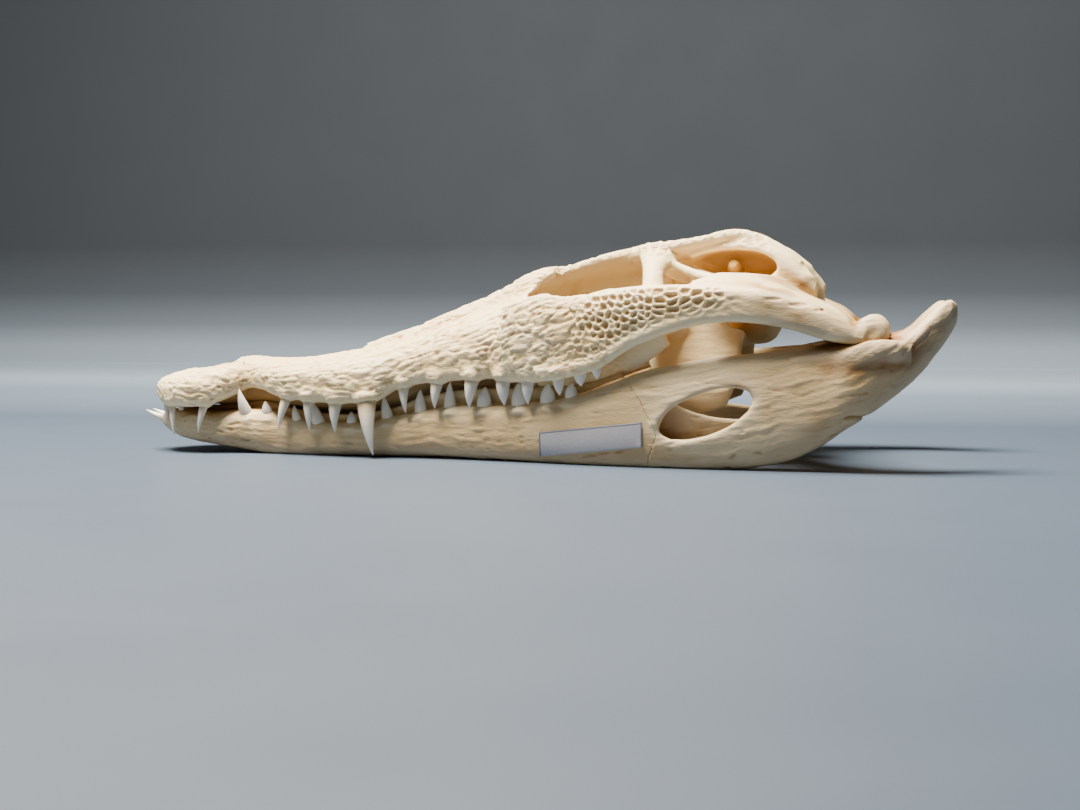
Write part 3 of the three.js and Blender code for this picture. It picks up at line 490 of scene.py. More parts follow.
WING_PLATE = [[284, -2, 57.5, 19, 3.6], [284, 20, 58.5, 20, 3], [284, 34, 60.5, 21, 3.2]]
WING_BLADE = [
    [283, 35, 69, 15, 2], [282, 37, 64, 22.5, 3], [282, 40.5, 54, 22, 3], [284, 43, 43, 19.5, 3.4],
    [287.5, 44, 33, 14.5, 3.8], [290, 43.5, 26, 8, 3],
]
BRACE = [
    [272, 37, 64, 8, 3.2], [265, 46, 64, 6.5, 3.8], [256, 56, 65, 8, 4.2], [250, 60, 66, 9, 4.2],
]
BRACE_FOOT = [
    [208, 40.5, 41, 2.4, 4.5], [224, 44.5, 42.5, 2.4, 6], [238, 47.5, 47, 2.6, 7.5],
    [254, 51, 54.5, 2.8, 9], [268, 53, 62.5, 3, 7],
]

pterygoid = joined(
    [
        strut(WING_PLATE, across=(1, 0, 0), n=3),
        strut(WING_BLADE, across=(1, 0, 0), n=2.6),
        strut(BRACE, across=(1, 0, 0)),
        strut(BRACE_FOOT),
    ],
    4,
)

# ---- the upper jaw and skull, grown together and parted at the sutures ---------------------------
# All these bones are knitted to each other in life. They are joined here with the fillets that
# growth leaves, and parted again along the sutures, where neighbours overlap by a hair's breadth.

MIDDLE_ROW = 3  # the grid row that lies on the midline
SUTURE = -0.3  # neighbours share this much bone, so that no gap shows
parts = {
    "front": joined([snout, cheek, eye_bar, roof, palatines], 3),
    "table": table,
    "braincase": braincase,
    "quadrate": quadrate,
    "pterygoid": pterygoid,
}
whole_grid = (np.zeros(3, int), COUNT)
near = {name: part.window(*whole_grid, FAR) for name, part in parts.items()}
pocket = ear_pocket.window(*whole_grid, FAR)
skull = np.full(COUNT, FAR, np.float32)
for values in near.values():
    skull = blended(skull, values, 3.5)
skull = -blended(-skull, pocket, 2.0)
skull = blended(skull, ear_knob.window(*whole_grid, FAR), 1.5)

s_at = (LOW[0] + VOXEL * np.arange(COUNT[0]))[:, None, None].astype(np.float32)
w_at = (LOW[1] + VOXEL * np.arange(COUNT[1]))[None, :, None].astype(np.float32)
z_at = (LOW[2] + VOXEL * np.arange(COUNT[2]))[None, None, :].astype(np.float32)


def beyond(points):
    """How far a place lies behind a suture drawn in side view as a line of (s, z) points from the
    top down, and before it if negative: the height decides where the line is crossed."""
    s, z = np.array(points, float).T
    order = np.argsort(z)
    line = np.interp(z_at.ravel(), z[order], s[order]).astype(np.float32)
    slope = np.gradient(line, VOXEL)
    return (s_at - line) / np.sqrt(1 + slope**2)


# The sutures wander a little, as real ones do.
PREMAXILLA_BACK, PALATE_FRONT, ROOF_FRONT = 50, 198.5, 205
ROOF_HEIGHT = 67  # the roof ends over this height, and the palate under it
MIDDLE_WIDTH = 29.8  # the roof and the palate lie within this distance of the midline
MAXILLA_BACK = [(217, 112), (217, 86), (250, 38)]
wander = 0.7 * np.sin(w_at / 2.3 + 1.3 * np.sin(z_at / 3.1)) + 0.4 * np.sin(z_at / 1.7 + w_at / 4)
wander = wander.astype(np.float32)
middle = MIDDLE_WIDTH - w_at
in_roof = np.maximum(ROOF_FRONT - s_at, ROOF_HEIGHT - z_at)
in_palate = np.maximum(PALATE_FRONT - s_at, z_at - ROOF_HEIGHT)
regions = {
    "premaxilla": s_at - PREMAXILLA_BACK - 0.8 * wander,
    "skull_roof": np.maximum(-middle, in_roof),
    "palate": np.maximum(-middle, in_palate),
    "jugal": np.maximum(wander - beyond(MAXILLA_BACK), middle),
}
regions["maxilla"] = -np.min(list(regions.values()), 0)


def parted(name, region=None):
    """The distance field of one bone: inside the skull, nearer this bone's own shape than any
    other's, and inside its region of that shape."""
    others = np.min([values for key, values in near.items() if key != name], 0)
    field = np.maximum(skull, (near[name] - others + SUTURE) / 2)
    return field if region is None else np.maximum(field, region + SUTURE / 2)


def mirrored(field):
    """A field of the right half and its mirror image, across the whole skull."""
    return np.concatenate([field[:, :MIDDLE_ROW:-1], field[:, MIDDLE_ROW:]], 1)


def right_side(field):
    """A field cut off just past the midline."""
    return np.maximum(field, SUTURE / 2 - w_at)


skull_bones = {
    "premaxilla": parted("front", regions["premaxilla"]),
    "skull_roof": parted("front", regions["skull_roof"]),
    "palate": parted("front", regions["palate"]),
    "skull_table": parted("table"),
    "braincase": parted("braincase"),
}
skull_sides = {
    "maxilla": parted("front", regions["maxilla"]),
    "jugal": parted("front", regions["jugal"]),
    "quadrate": parted("quadrate"),
    "pterygoid": parted("pterygoid"),
}

# ---- the lower jaw --------------------------------------------------------------------------------
# Two slender halves meet behind the front teeth. Each widens behind into a thin-walled blade with
# a window in its side, takes the roller of the skull, and ends in a hooked process.

JAW = [
    [3.4, 4.5, 4, 13.4, 16, 18.6],
    [8, 7, 6.4, 10.6, 15.5, 21],
    [15, 9.4, 8.4, 7.6, 14, 22],
    [25, 11.6, 10, 5.2, 12.5, 21.6],
    [38, 12, 10.2, 3.2, 12, 21],
    [52, 12.4, 9.8, 1.2, 12, 22],
    [64, 15.2, 7.8, -0.9, 11, 22],
    [80, 18.4, 6.2, -1, 8.5, 18],
    [100, 22.8, 6, -0.2, 8, 16.8],
    [118, 25.8, 6, 0.6, 8.5, 17.2],
    [134, 27.6, 6.2, 1, 10, 20.6],
    [150, 29.4, 6.2, 1.2, 12, 23.8],
    [166, 32.6, 6.2, 1, 13.5, 26.6],
    [190, 38.8, 6.6, 0.6, 14, 27.4],
    [212, 45, 7, -0.2, 15, 29.6],
    [230, 50.2, 7.4, -1, 16.5, 33.2],
    [244, 53.6, 7.8, -1.2, 19, 38.4],
    [256, 56.2, 8, -1.3, 21, 42.6],
    [272, 59.4, 8.2, -1.3, 23.5, 47],
    [290, 62, 8.4, -1.2, 25.5, 50.6],
    [310, 64, 8.6, 0.8, 28.5, 53],
    [328, 65.4, 9, 4.6, 32, 54.4],
    [342, 66.4, 10.4, 11.4, 36, 57],
    [352, 67, 12.2, 18.4, 41, 59.4],
    [361, 66.8, 12.4, 24.2, 44, 60],
    [369, 66, 11.4, 30, 47, 60.2],
    [376, 64.6, 10, 35.6, 50, 61],
    [382, 62.6, 9.2, 40.8, 54.4, 64.4],
    [388, 60.4, 8.6, 47.4, 60, 70.4],
    [394, 58, 7.8, 55.4, 66, 75.6],
    [398.6, 56, 6.2, 62, 69.4, 77],
    [401.2, 55, 3, 67, 71, 74.4],
]
JOINT_LIP = [
    [330, 71, 50, 0.6, 1], [342, 72.8, 50.5, 2, 3.4], [355, 76.6, 51.6, 2.8, 4.8],
    [362, 77.4, 53.6, 2.8, 5], [368, 77, 54.6, 2.8, 5.2], [374, 75, 54, 3, 5],
    [379, 71, 54, 3, 4.4],
]
HOOK_HOLLOW = [
    [377, 62.5, 63.5, 3.2, 1.8], [383, 60.5, 67.6, 3.8, 2], [389, 58, 73.4, 3.6, 2],
    [394, 56.5, 78.4, 2.6, 1.6],
]
LOWER_TEETH = [
    [4.6, 3.9, 15.6, -7.3, 4.4, 20.6, 4.6],
    [17, 14, 20.4, 15.6, 15.4, 24.6, 3.2],
    [30, 17.6, 19.4, 29, 18.8, 24.4, 3.4],
    [53, 17.6, 19, 49.6, 20.2, 32.4, 6.8],
    [64.6, 18.4, 19, 63.2, 19.6, 26.4, 5.2],
    [80.7, 20.4, 16, 79, 21.4, 24.6, 4.8],
    [92.8, 22.8, 15, 90.2, 24, 26, 6.6],
    [111, 26.4, 15.2, 110.6, 26.8, 22, 5.2],
    [130.2, 28.8, 18.6, 128, 29.6, 30.6, 6],
    [147.2, 30.6, 22, 147, 31.2, 33.6, 6.2],
    [162.8, 33.6, 24.6, 162.7, 34.4, 37.6, 6.4],
    [180.7, 38.2, 25.4, 181.2, 38.8, 35.6, 7],
    [199.4, 43.2, 26.4, 198.7, 43.8, 38, 7.8],
    [213.8, 47.2, 28, 213.5, 47.6, 37.8, 7.2],
    [225.5, 50.2, 30.4, 225.3, 50.6, 38.4, 6],
]
JAW_OVAL = 2.5  # the exponent of the jaw's section
JOINT_GAP, JAW_GAP = 0.5, 0.4  # how far the lower jaw stays from the joint, and from other bones
jaw_rows = through(JAW, np.linspace(0, 1, 800))


def jaw_at(s):
    """The jaw's centre w, half thickness, and bottom, widest and top z at s."""
    return [np.interp(s, jaw_rows[:, 0], jaw_rows[:, c]) for c in range(1, 6)]


jaw = lengthwise(JAW, n=JAW_OVAL)
shelf_s = np.array([20, 34, 48, 62, 75, 90, 110, 130, 150, 175, 200, 220, 236, 250.0])
shelf_w, shelf_half, _, _, shelf_top = jaw_at(shelf_s)
shelf_rise = 4 + 3 * ((shelf_s > 145) & (shelf_s < 225))
shelf_middle, shelf_thick = shelf_w - shelf_half + 3.2, np.full(len(shelf_s), 2.4)
SHELF = [shelf_s, shelf_middle, shelf_thick, shelf_top - 9, shelf_top - 1, shelf_top + shelf_rise]
jaw = joined([jaw, lengthwise(np.stack(SHELF, 1)), strut(JOINT_LIP), *sockets(LOWER_TEETH, 5)], 2.5)
jaw = carved(jaw, strut(HOOK_HOLLOW), 2)

# The hollow for the jaw's closing muscle lies between an outer wall and a low inner one.
w, half, _, _, top = (v[:, None, None] for v in jaw_at(s_at.ravel()))
swell = np.sqrt(np.clip(np.sin(np.pi * np.clip((s_at - 258) / 80, 0, 1)), 0, 1))
low_wall = np.abs(z_at - 25) - 19 * swell
between_walls = np.maximum(w - half + 3 - w_at, w_at - w - half + 4)
trough = np.maximum(between_walls, np.maximum(low_wall, z_at - top + 5))
swell = np.sqrt(np.clip(np.sin(np.pi * np.clip((s_at - 270) / 64, 0, 1)), 0, 1))
way_in = np.maximum(np.maximum(w_at - w + 0.5, 23 + 12 * (1 - swell) - z_at), 3 - 14 * swell)
WINDOW = {"s": 290, "z": 25.4, "long": 22.4, "short": 9.4, "turn": 0.37}
ahead, over = s_at - WINDOW["s"], z_at - WINDOW["z"]
cos, sin = np.cos(WINDOW["turn"]), np.sin(WINDOW["turn"])
long, short = (ahead * cos + over * sin) / WINDOW["long"], (over * cos - ahead * sin) / WINDOW["short"]
window = np.maximum((np.sqrt(long**2 + short**2) - 1) * 12, w - w_at)
jaw_field = jaw.window(*whole_grid, FAR)
for tool in (trough, way_in, window):
    jaw_field = -blended(-jaw_field, np.clip(tool, -FAR, FAR).astype(np.float32), 2.4)
joint = roller(JOINT_GAP).window(*whole_grid, FAR)
over_joint = np.maximum(near["quadrate"] - JOINT_GAP, -FAR)
upper_jaw = np.minimum(near["front"], near["pterygoid"]) - JAW_GAP
jaw_field = np.maximum(jaw_field, -np.minimum(np.minimum(joint, over_joint), upper_jaw))
jaw_field = np.maximum(jaw_field, -z_at)
DENTARY_BACK = [(238, 64), (250, 44), (265.5, 21), (267, 14), (261, -5)]
behind_dentary = beyond(DENTARY_BACK) - 0.6 * wander
jaw_sides = {
    "dentary": np.maximum(jaw_field, behind_dentary + SUTURE / 2),
    "jaw_back": np.maximum(jaw_field, -behind_dentary + SUTURE / 2),
}

# ---- the surface of the bones ---------------------------------------------------------------------
# Dry bone is ivory and hard, ridged like bark on the snout, pitted like honeycomb on the cheek and
# the table, and drawn out in strands along the lower jaw. Where it is shut in its colour is darkened
# to amber, partly as painted shade and partly as the stain of unbleached bone.


def facing_out(points, quads):
    """The quads of a closed mesh, turned over if the volume in them comes out below zero."""
    return quads[:, ::-1] if volume(points, quads, quads[:0, :3]) < 0 else quads


def skin(field, low_w):
    """The surface of a dense field as points in mm and quads that face out."""
    grid = openvdb.FloatGrid(FAR)
    grid.copyFromArray(np.ascontiguousarray(np.clip(field, -FAR, FAR)))
    points, quads = grid.convertToQuads(0.0)
    points = np.asarray(points, float) * VOXEL + np.array([LOW[0], low_w, LOW[2]])
    return points, facing_out(points, np.asarray(quads).astype(int))


def smooth(low, high, x):
    """0 up to low and 1 from high on, with an S between; low may be the larger."""
    t = np.clip((x - low) / (high - low), 0, 1)
    return t * t * (3 - 2 * t)


def chance(cell, seed):
    """Three numbers from 0 to 1 for each whole-number cell, always the same for the same cell."""
    h = (cell.astype(np.int64) * np.array([73856093, 19349663, 83492791])).sum(-1) + seed * 2654435761
    out = []
    for k in (1, 2, 3):
        v = (h * (2 * k + 1) + k * 40503) & 0xFFFFFFFF
        v = ((v ^ (v >> 15)) * 0x2C1B3C6D) & 0xFFFFFFFF
        v = ((v ^ (v >> 12)) * 0x297A2D39) & 0xFFFFFFFF
        out.append(((v ^ (v >> 15)) & 0xFFFFFF) / 0xFFFFFF)
    return np.stack(out, -1)


def cells(points, size, seed, loose=1.0):
    """How much further the second nearest is than the nearest, in cells, of points scattered one
    to a cell of that size: nought on the walls between them. An endless size leaves an axis out."""
    size = np.asarray(size, float)
    used = np.isfinite(size)
    q = (points / size)[:, used]
    base = np.zeros((len(points), 3), int)
    base[:, used] = np.floor(q)
    first = np.full(len(q), 9.0)
    second = first.copy()
    for i in np.ndindex(*np.where(used, 3, 1)):
        cell = base + np.where(used, np.array(i) - 1, 0)
        at = (cell + 0.5 + loose * (chance(cell, seed) - 0.5))[:, used]
        d = np.linalg.norm(at - q, axis=1)
        second = np.minimum(second, np.maximum(first, d))
        first = np.minimum(first, d)
    return second - first


def noise(points, size, seed):
    """Smooth noise from -1 to 1 that changes over about size mm along each axis."""
    q = points / np.asarray(size, float)
    base = np.floor(q).astype(int)
    f = q - base
    f = f * f * (3 - 2 * f)
    total = np.zeros(len(q))
    for i in np.ndindex(2, 2, 2):
        corner = np.prod(np.where(np.array(i), f, 1 - f), axis=1)
        total += corner * (2 * chance(base + np.array(i), seed)[:, 0] - 1)
    return total


def vertex_normals(points, quads):
    """The mean outward direction at each point of a mesh of quads."""
    a, b, c, d = (points[quads[:, i]] for i in range(4))
    face = np.cross(c - a, d - b)
    sums = [np.bincount(quads.ravel(), np.repeat(face[:, k], 4), len(points)) for k in range(3)]
    total = np.stack(sums, -1)
    return total / np.maximum(np.linalg.norm(total, axis=1), 1e-9)[:, None]


def sampled(values, low, points, pitch=VOXEL):
    """A dense array read at points in mm, between its samples."""
    at = (points - low) / pitch
    base = np.clip(np.floor(at).astype(int), 0, np.array(values.shape) - 2)
    f = np.clip(at - base, 0, 1)
    total = np.zeros(len(at))
    for i in np.ndindex(2, 2, 2):
        j = base + np.array(i)
        total += np.prod(np.where(np.array(i), f, 1 - f), axis=1) * values[j[:, 0], j[:, 1], j[:, 2]]
    return total


def filled_share(field, radius):
    """The share of bone within about radius mm of each place, on every second sample."""
    share = mirrored(field)
    share = (share < 0).astype(np.float32)[:, 1:][::2, ::2, ::2]
    reach = max(1, int(round(radius / (2 * VOXEL) / 1.6)))
    for _ in range(3):
        for axis in range(3):
            pad = [(reach + 1, reach) if k == axis else (0, 0) for k in range(3)]
            total = np.cumsum(np.pad(share, pad), axis=axis, dtype=np.float32)
            ahead = [slice(None)] * 3
            back = [slice(None)] * 3
            ahead[axis], back[axis] = slice(2 * reach + 1, None), slice(None, -2 * reach - 1)
            share = (total[tuple(ahead)] - total[tuple(back)]) / (2 * reach + 1)
    return share


SKULL_FLOW = [[0, 30], [60, 31], [120, 35], [204, 58], [236, 70], [262, 79], [300, 82], [350, 62]]
JAW_FLOW = [[0, 13], [60, 11], [200, 14], [250, 20], [300, 27], [350, 38], [376, 52], [402, 76]]
SLOTS = [[321, 77.5, 5, 1.1], [332, 75, 5.5, 1.2], [341, 72.5, 3, 1.0]]


def along_flow(p, line):
    """Points with their height taken from a line of (s, z) that the bone's grain follows, and
    shaken a little, so that grooves drawn in them wander along it."""
    s, z = np.array(line, float).T
    bend = np.stack([noise(p, 14, 5), noise(p, 9, 6), noise(p, 9, 7)], -1)
    return p - np.interp(p[:, 0], s, z)[:, None] * [0, 0, 1] + bend * [3.0, 1.5, 1.5]


def relief_of_skull(p, n):
    """How far the upper skull's surface is raised in mm at points p that face n, and how deep in a
    pit, how rough and how tan they are from 0 to 1."""
    s, w, z = p[:, 0], np.abs(p[:, 1]), p[:, 2]
    out = n[:, 1] * np.sign(p[:, 1])
    faces = smooth(-0.05, 0.35, np.maximum(n[:, 2], out))
    margin = np.interp(s, [r[0] for r in SNOUT], [r[3] for r in SNOUT])
    lower, upper = (np.interp(s, [r[0] for r in CHEEK], [r[k] for r in CHEEK]) for k in (3, 5))
    comb_here = faces * smooth(220, 246, s) * smooth(308, 292, s) * smooth(48, 54, w)
    comb_here *= smooth(0.2, 2.4, upper - z) * smooth(2, 12, z - lower)
    roof_top = np.interp(s, [r[0] for r in ROOF], [r[5] for r in ROOF])
    in_socket = smooth(203, 210, s) * smooth(47, 41, w) * smooth(1.5, 5, roof_top - z)
    bark = faces * smooth(262, 236, s) * smooth(-5, 3, z - margin - 2) * smooth(96, 90, z)
    bark *= (1 - comb_here) * (1 - in_socket)
    table_here = smooth(0.0, 0.6, n[:, 2]) * smooth(250, 262, s) * smooth(322, 312, s) * smooth(96, 99, z)
    roof_here = smooth(0.1, 0.6, n[:, 2]) * smooth(200, 214, s) * smooth(262, 250, s)
    roof_here *= smooth(82, 87, z) * smooth(34, 26, w)
    turned = along_flow(p, SKULL_FLOW)
    grooves = smooth(0.30, 0.0, np.abs(noise(turned, [10, 2.6, 2.6], 11)))
    patchy = smooth(-0.4, 0.5, noise(p, 12, 51))
    pits = smooth(0.15, 0.6, cells(turned, [6.6, 2.3, 2.3], 12)) * (0.25 + 0.75 * patchy)
    rough = noise(turned, [7.0, 1.7, 1.7], 21) + 0.6 * noise(turned, [3.2, 1.0, 1.0], 22)
    behind = np.maximum(s - 268, 0)  # the cells are drawn out behind the eye
    squeezed = np.stack([s - 0.36 * behind, w, z * (1 - 0.002 * behind)], -1)
    comb = smooth(0.13, 0.56, cells(squeezed + 0.4 * noise(p, 5, 8)[:, None], [3.7, np.inf, 3.3], 31, 0.85))
    wide = smooth(0.10, 0.5, cells(p, [5.2, 4.8, np.inf], 41, 0.8))
    slot = np.zeros(len(p))
    for at_s, at_z, length, height in SLOTS:
        slot = np.maximum(slot, smooth(1, 0.2, ((s - at_s) / length) ** 2 + ((z - at_z) / height) ** 2))
    slot *= faces * smooth(52, 56, w)
    strands = noise(turned, [15, 1.8, 1.8], 72)
    calm = 0.5 + 0.3 * smooth(5, 18, z - margin)
    raised = bark * (0.5 - 0.95 * grooves - 1.0 * pits + 0.34 * rough) * calm
    raised += comb_here * (0.5 - 2.5 * comb)
    raised += (table_here + 0.8 * roof_here) * (0.25 - 0.9 * wide)
    raised += 0.26 * noise(p, 13, 61) + 0.06 * noise(p, 2.1, 71) + 0.13 * strands - 0.9 * slot
    pit = bark * np.maximum(0.55 * grooves, pits) + comb_here * comb + slot
    pit += 0.7 * (table_here + roof_here) * wide
    patches = 0.55 + 0.45 * smooth(-0.5, 0.3, noise(p, [14, 5, 5], 95))
    tan = smooth(285, 325, s) * smooth(50, 58, w) * patches
    return raised, np.clip(pit, 0, 1), np.clip(bark + comb_here + table_here + roof_here, 0, 1), tan


SEAMS = [
    [(238, 33), (262, 36.5), (285, 40), (318, 37), (346, 33), (362, 36)],
    [(262, 12), (250, 7), (232, 4)],
]


def relief_of_jaw(p, n):
    """The same for the lower jaw's surface: strands along it, short slots low at the back and pits
    at the front, seams between its bones, and a flat place under the label."""
    s, z = p[:, 0], p[:, 2]
    out = smooth(0.1, 0.6, n[:, 1] * np.sign(p[:, 1]))
    turned = along_flow(p, JAW_FLOW)
    strands = noise(turned, [24, 2.6, 2.0], 81) + 0.6 * noise(turned, [12, 1.4, 1.2], 82)
    patchy = smooth(-0.45, 0.15, noise(p, 12, 84))
    slots = smooth(0.35, 0.75, cells(turned, [8.0, 3.4, 2.8], 83)) * patchy
    low_back = smooth(255, 285, s) * smooth(34, 14, z - 0.5 * np.maximum(s - 320, 0)) * smooth(392, 366, s)
    front = smooth(80, 45, s)
    side = smooth(80, 110, s) * smooth(225, 205, s) * 0.5
    slots *= out * np.clip(low_back + front + side, 0, 1)
    seams = np.zeros(len(p))
    for line in SEAMS:
        a, b = np.array(line[:-1], float), np.array(line[1:], float)
        d = b - a
        ahead, above = s[:, None] - a[:, 0], z[:, None] - a[:, 1]
        t = np.clip((ahead * d[:, 0] + above * d[:, 1]) / (d**2).sum(1), 0, 1)
        gap = np.hypot(ahead - t * d[:, 0], above - t * d[:, 1]).min(1)
        seams = np.maximum(seams, smooth(0.8, 0.1, gap + 0.5 * noise(p, 3, 91)))
    seams *= out * (0.4 + 0.6 * patchy)
    raised = 0.28 * strands - 0.9 * slots - 0.3 * seams + 0.25 * noise(p, 15, 85) + 0.05 * noise(p, 2, 86)
    raised -= 0.25 * front * smooth(0.2, 0.6, cells(p, [3.4, 2.6, 2.6], 87))
    under_label = smooth(205, 208, s) * smooth(265.5, 262.5, s) * (p[:, 1] < 0)
    under_label *= smooth(24, 21.5, z - 0.122 * (s - 234))
    raised = raised * (1 - under_label) - 0.15 * under_label
    raised = np.where(z < 0.6, np.minimum(raised, 0), raised)
    pit = 0.9 * slots + 0.6 * seams + 0.45 * smooth(0.2, 0.8, -strands) * out
    patches = 0.5 + 0.5 * smooth(-0.6, 0.3, noise(p, [14, 5, 5], 95))
    near_joint = smooth(325, 352, s) * smooth(38, 50, z) * patches
    # The jaw is tan all over, partly as painted shade from the upper jaw over it, and more so near the
    # joint and on faces turned down, where the darkening is painted shade.
    tan = 0.62 + 0.38 * np.maximum(smooth(0.1, -0.6, n[:, 2]), near_joint)
    return raised, np.clip(pit, 0, 1), (0.3 + 0.5 * front) * (1 - under_label), tan


def wrapped_mesh(name, points, faces):
    """A mesh object, from points in mm in the skull's terms and faces of three or four points."""
    mesh = bpy.data.meshes.new(name)
    mesh.from_pydata(((points + [SHIFT, 0, 0]) / 1000).tolist(), [], faces.tolist())
    mesh.shade_smooth()
    made = bpy.data.objects.new(name, mesh)
    bpy.context.collection.objects.link(made)
    return made


def kept_number(made, name, values):
    """A number for each point of a mesh, that its material reads by name."""
    made.data.attributes.new(name, "FLOAT", "POINT").data.foreach_set("value", values.astype(np.float32))


all_bone = np.minimum(skull, jaw_field)
# How much bone lies near each place, within about 4 and 11 mm. The bones' material paints shade from these
# in crevices and where the bone is shut in.
share_near, share_wide = filled_share(all_bone, 4.0), filled_share(all_bone, 11.0)
ENVELOPE = np.array([[r[0], r[2]] for r in SNOUT[:-1]] + [[r[0], r[1] + r[2]] for r in CHEEK[3:]])
share_low = np.array([LOW[0], (1 - (COUNT[1] - MIDDLE_ROW - 1)) * VOXEL, LOW[2]])


def bone(name, points, quads, body, relief):
    """A bone's skin with its relief raised on it, and what its material reads at each point: how
    deep in a pit, how rough, how tan, how near to a crevice and how shut in, the pits, crevices and
    shut-in places being given painted shade. Points just inside the body that the bone was parted from
    are brought out to its surface, which closes the suture."""
    normals = vertex_normals(points, quads)
    folded = points * [1, 0, 1] + np.abs(points * [0, 1, 0])
    depth = sampled(body, LOW, folded)
    steps = 0.5 * np.eye(3)
    slope = np.stack([sampled(body, LOW, folded + d) - sampled(body, LOW, folded - d) for d in steps], -1)
    slope *= np.where(points[:, 1:2] < 0, [1, -1, 1], 1)
    at_rim = smooth(-0.6, -0.3, depth)[:, None]
    points = points - at_rim * depth[:, None] * slope
    on_outside = smooth(-0.75, -0.4, depth)
    raised, pit, rough, tan = relief(points, normals)
    crevice = sampled(share_near, share_low, points + normals * 1.2, 2 * VOXEL)
    shut_in = sampled(share_wide, share_low, points + normals * 4.0, 2 * VOXEL)
    from_middle = np.abs(points[:, 1])
    # Painted shade: faces turned to the midline, and inner faces near it that don't face up, most of all
    # low down from the eye bar back, are darkened towards amber along with shut-in places.
    inward_shade = smooth(0.2, 0.8, -normals[:, 1] * np.sign(points[:, 1])) * smooth(3, 9, from_middle)
    wings = smooth(256, 270, points[:, 0]) * smooth(82, 72, points[:, 2])
    core_shade = smooth(0.75, 0.45, from_middle / np.interp(points[:, 0], *ENVELOPE.T))
    core_shade *= smooth(0.6, 0.0, normals[:, 2]) * smooth(20, 60, points[:, 0]) * (0.25 + 0.7 * wings)
    thin = smooth(0.30, 0.42, crevice)
    raised = np.where(raised < 0, raised * (0.45 + 0.55 * thin), raised)
    made = wrapped_mesh(name, points + normals * (on_outside * raised)[:, None], quads)
    kept_number(made, "pit", pit * on_outside)
    kept_number(made, "rough", rough * on_outside)
    kept_number(made, "tan", tan)
    kept_number(made, "crevice", crevice)
    kept_number(made, "shut_in", np.clip(smooth(0.30, 0.54, shut_in) + 0.5 * inward_shade + core_shade, 0, 1))
    made.data.materials.append(bone_finish)
    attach(made, "root")
    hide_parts(name)


class Wire:
    """A link in a material's nodes, so that shader maths reads as sums."""

    def __init__(self, tree, socket):
        self.tree, self.socket = tree, socket

    def node(self, kind, settings=None, out=0, **sockets):
        """A new node's output: the node is set up, then fed its inputs."""
        made = self.tree.nodes.new("ShaderNode" + kind)
        for key, value in (settings or {}).items():
            if key == "stops":
                ramp = made.color_ramp.elements
                for _ in range(len(value) - 2):
                    ramp.new(0.5)
                for stop, (at, color) in zip(ramp, value):
                    stop.position, stop.color = at, (*color, 1.0)
            else:
                setattr(made, key, value)
        self.feed(made, **sockets)
        return Wire(self.tree, made.outputs[out])

    def feed(self, made, **sockets):
        """Joins a node's inputs, each by its name or as i and its number, to wires or sets them."""
        for key, value in sockets.items():
            socket = made.inputs[int(key[1:]) if key[1:].isdigit() else key.replace("_", " ")]
            if isinstance(value, Wire):
                self.tree.links.new(value.socket, socket)
            else:
                socket.default_value = value

    def maths(self, operation, a, b=0.0, clamp=False):
        """The outcome of one operation on two wires or numbers, kept from 0 to 1 if clamp."""
        return self.node("Math", {"operation": operation, "use_clamp": clamp}, i0=a, i1=b)

    def __add__(self, other):
        return self.maths("ADD", self, other)

    def __mul__(self, other):
        return self.maths("MULTIPLY", self, other)

    __radd__, __rmul__ = __add__, __mul__

    def clamped(self):
        """This number kept from 0 to 1."""
        return self.maths("ADD", self, 0.0, clamp=True)

    def from_to(self, low, high):
        """0 at low and 1 at high, smoothly, and level beyond."""
        settings = {"interpolation_type": "SMOOTHSTEP"}
        return self.node("MapRange", settings, Value=self, From_Min=low, From_Max=high)

    def tinted(self, color, by):
        """This colour mixed with another by a share."""
        return self.node("Mix", {"data_type": "RGBA"}, out=2, i0=by, i6=self, i7=color)

    def darkened(self, by, color):
        """This colour multiplied by another, by a share."""
        settings = {"data_type": "RGBA", "blend_type": "MULTIPLY"}
        return self.node("Mix", settings, out=2, i0=by, i6=self, i7=color)


def finish(name):
    """A new material: its nodes as a starting wire, its shader, and itself."""
    made = bpy.data.materials.new(name)
    made.use_nodes = True
    shader = made.node_tree.nodes["Principled BSDF"]
    return Wire(made.node_tree, None), shader, made


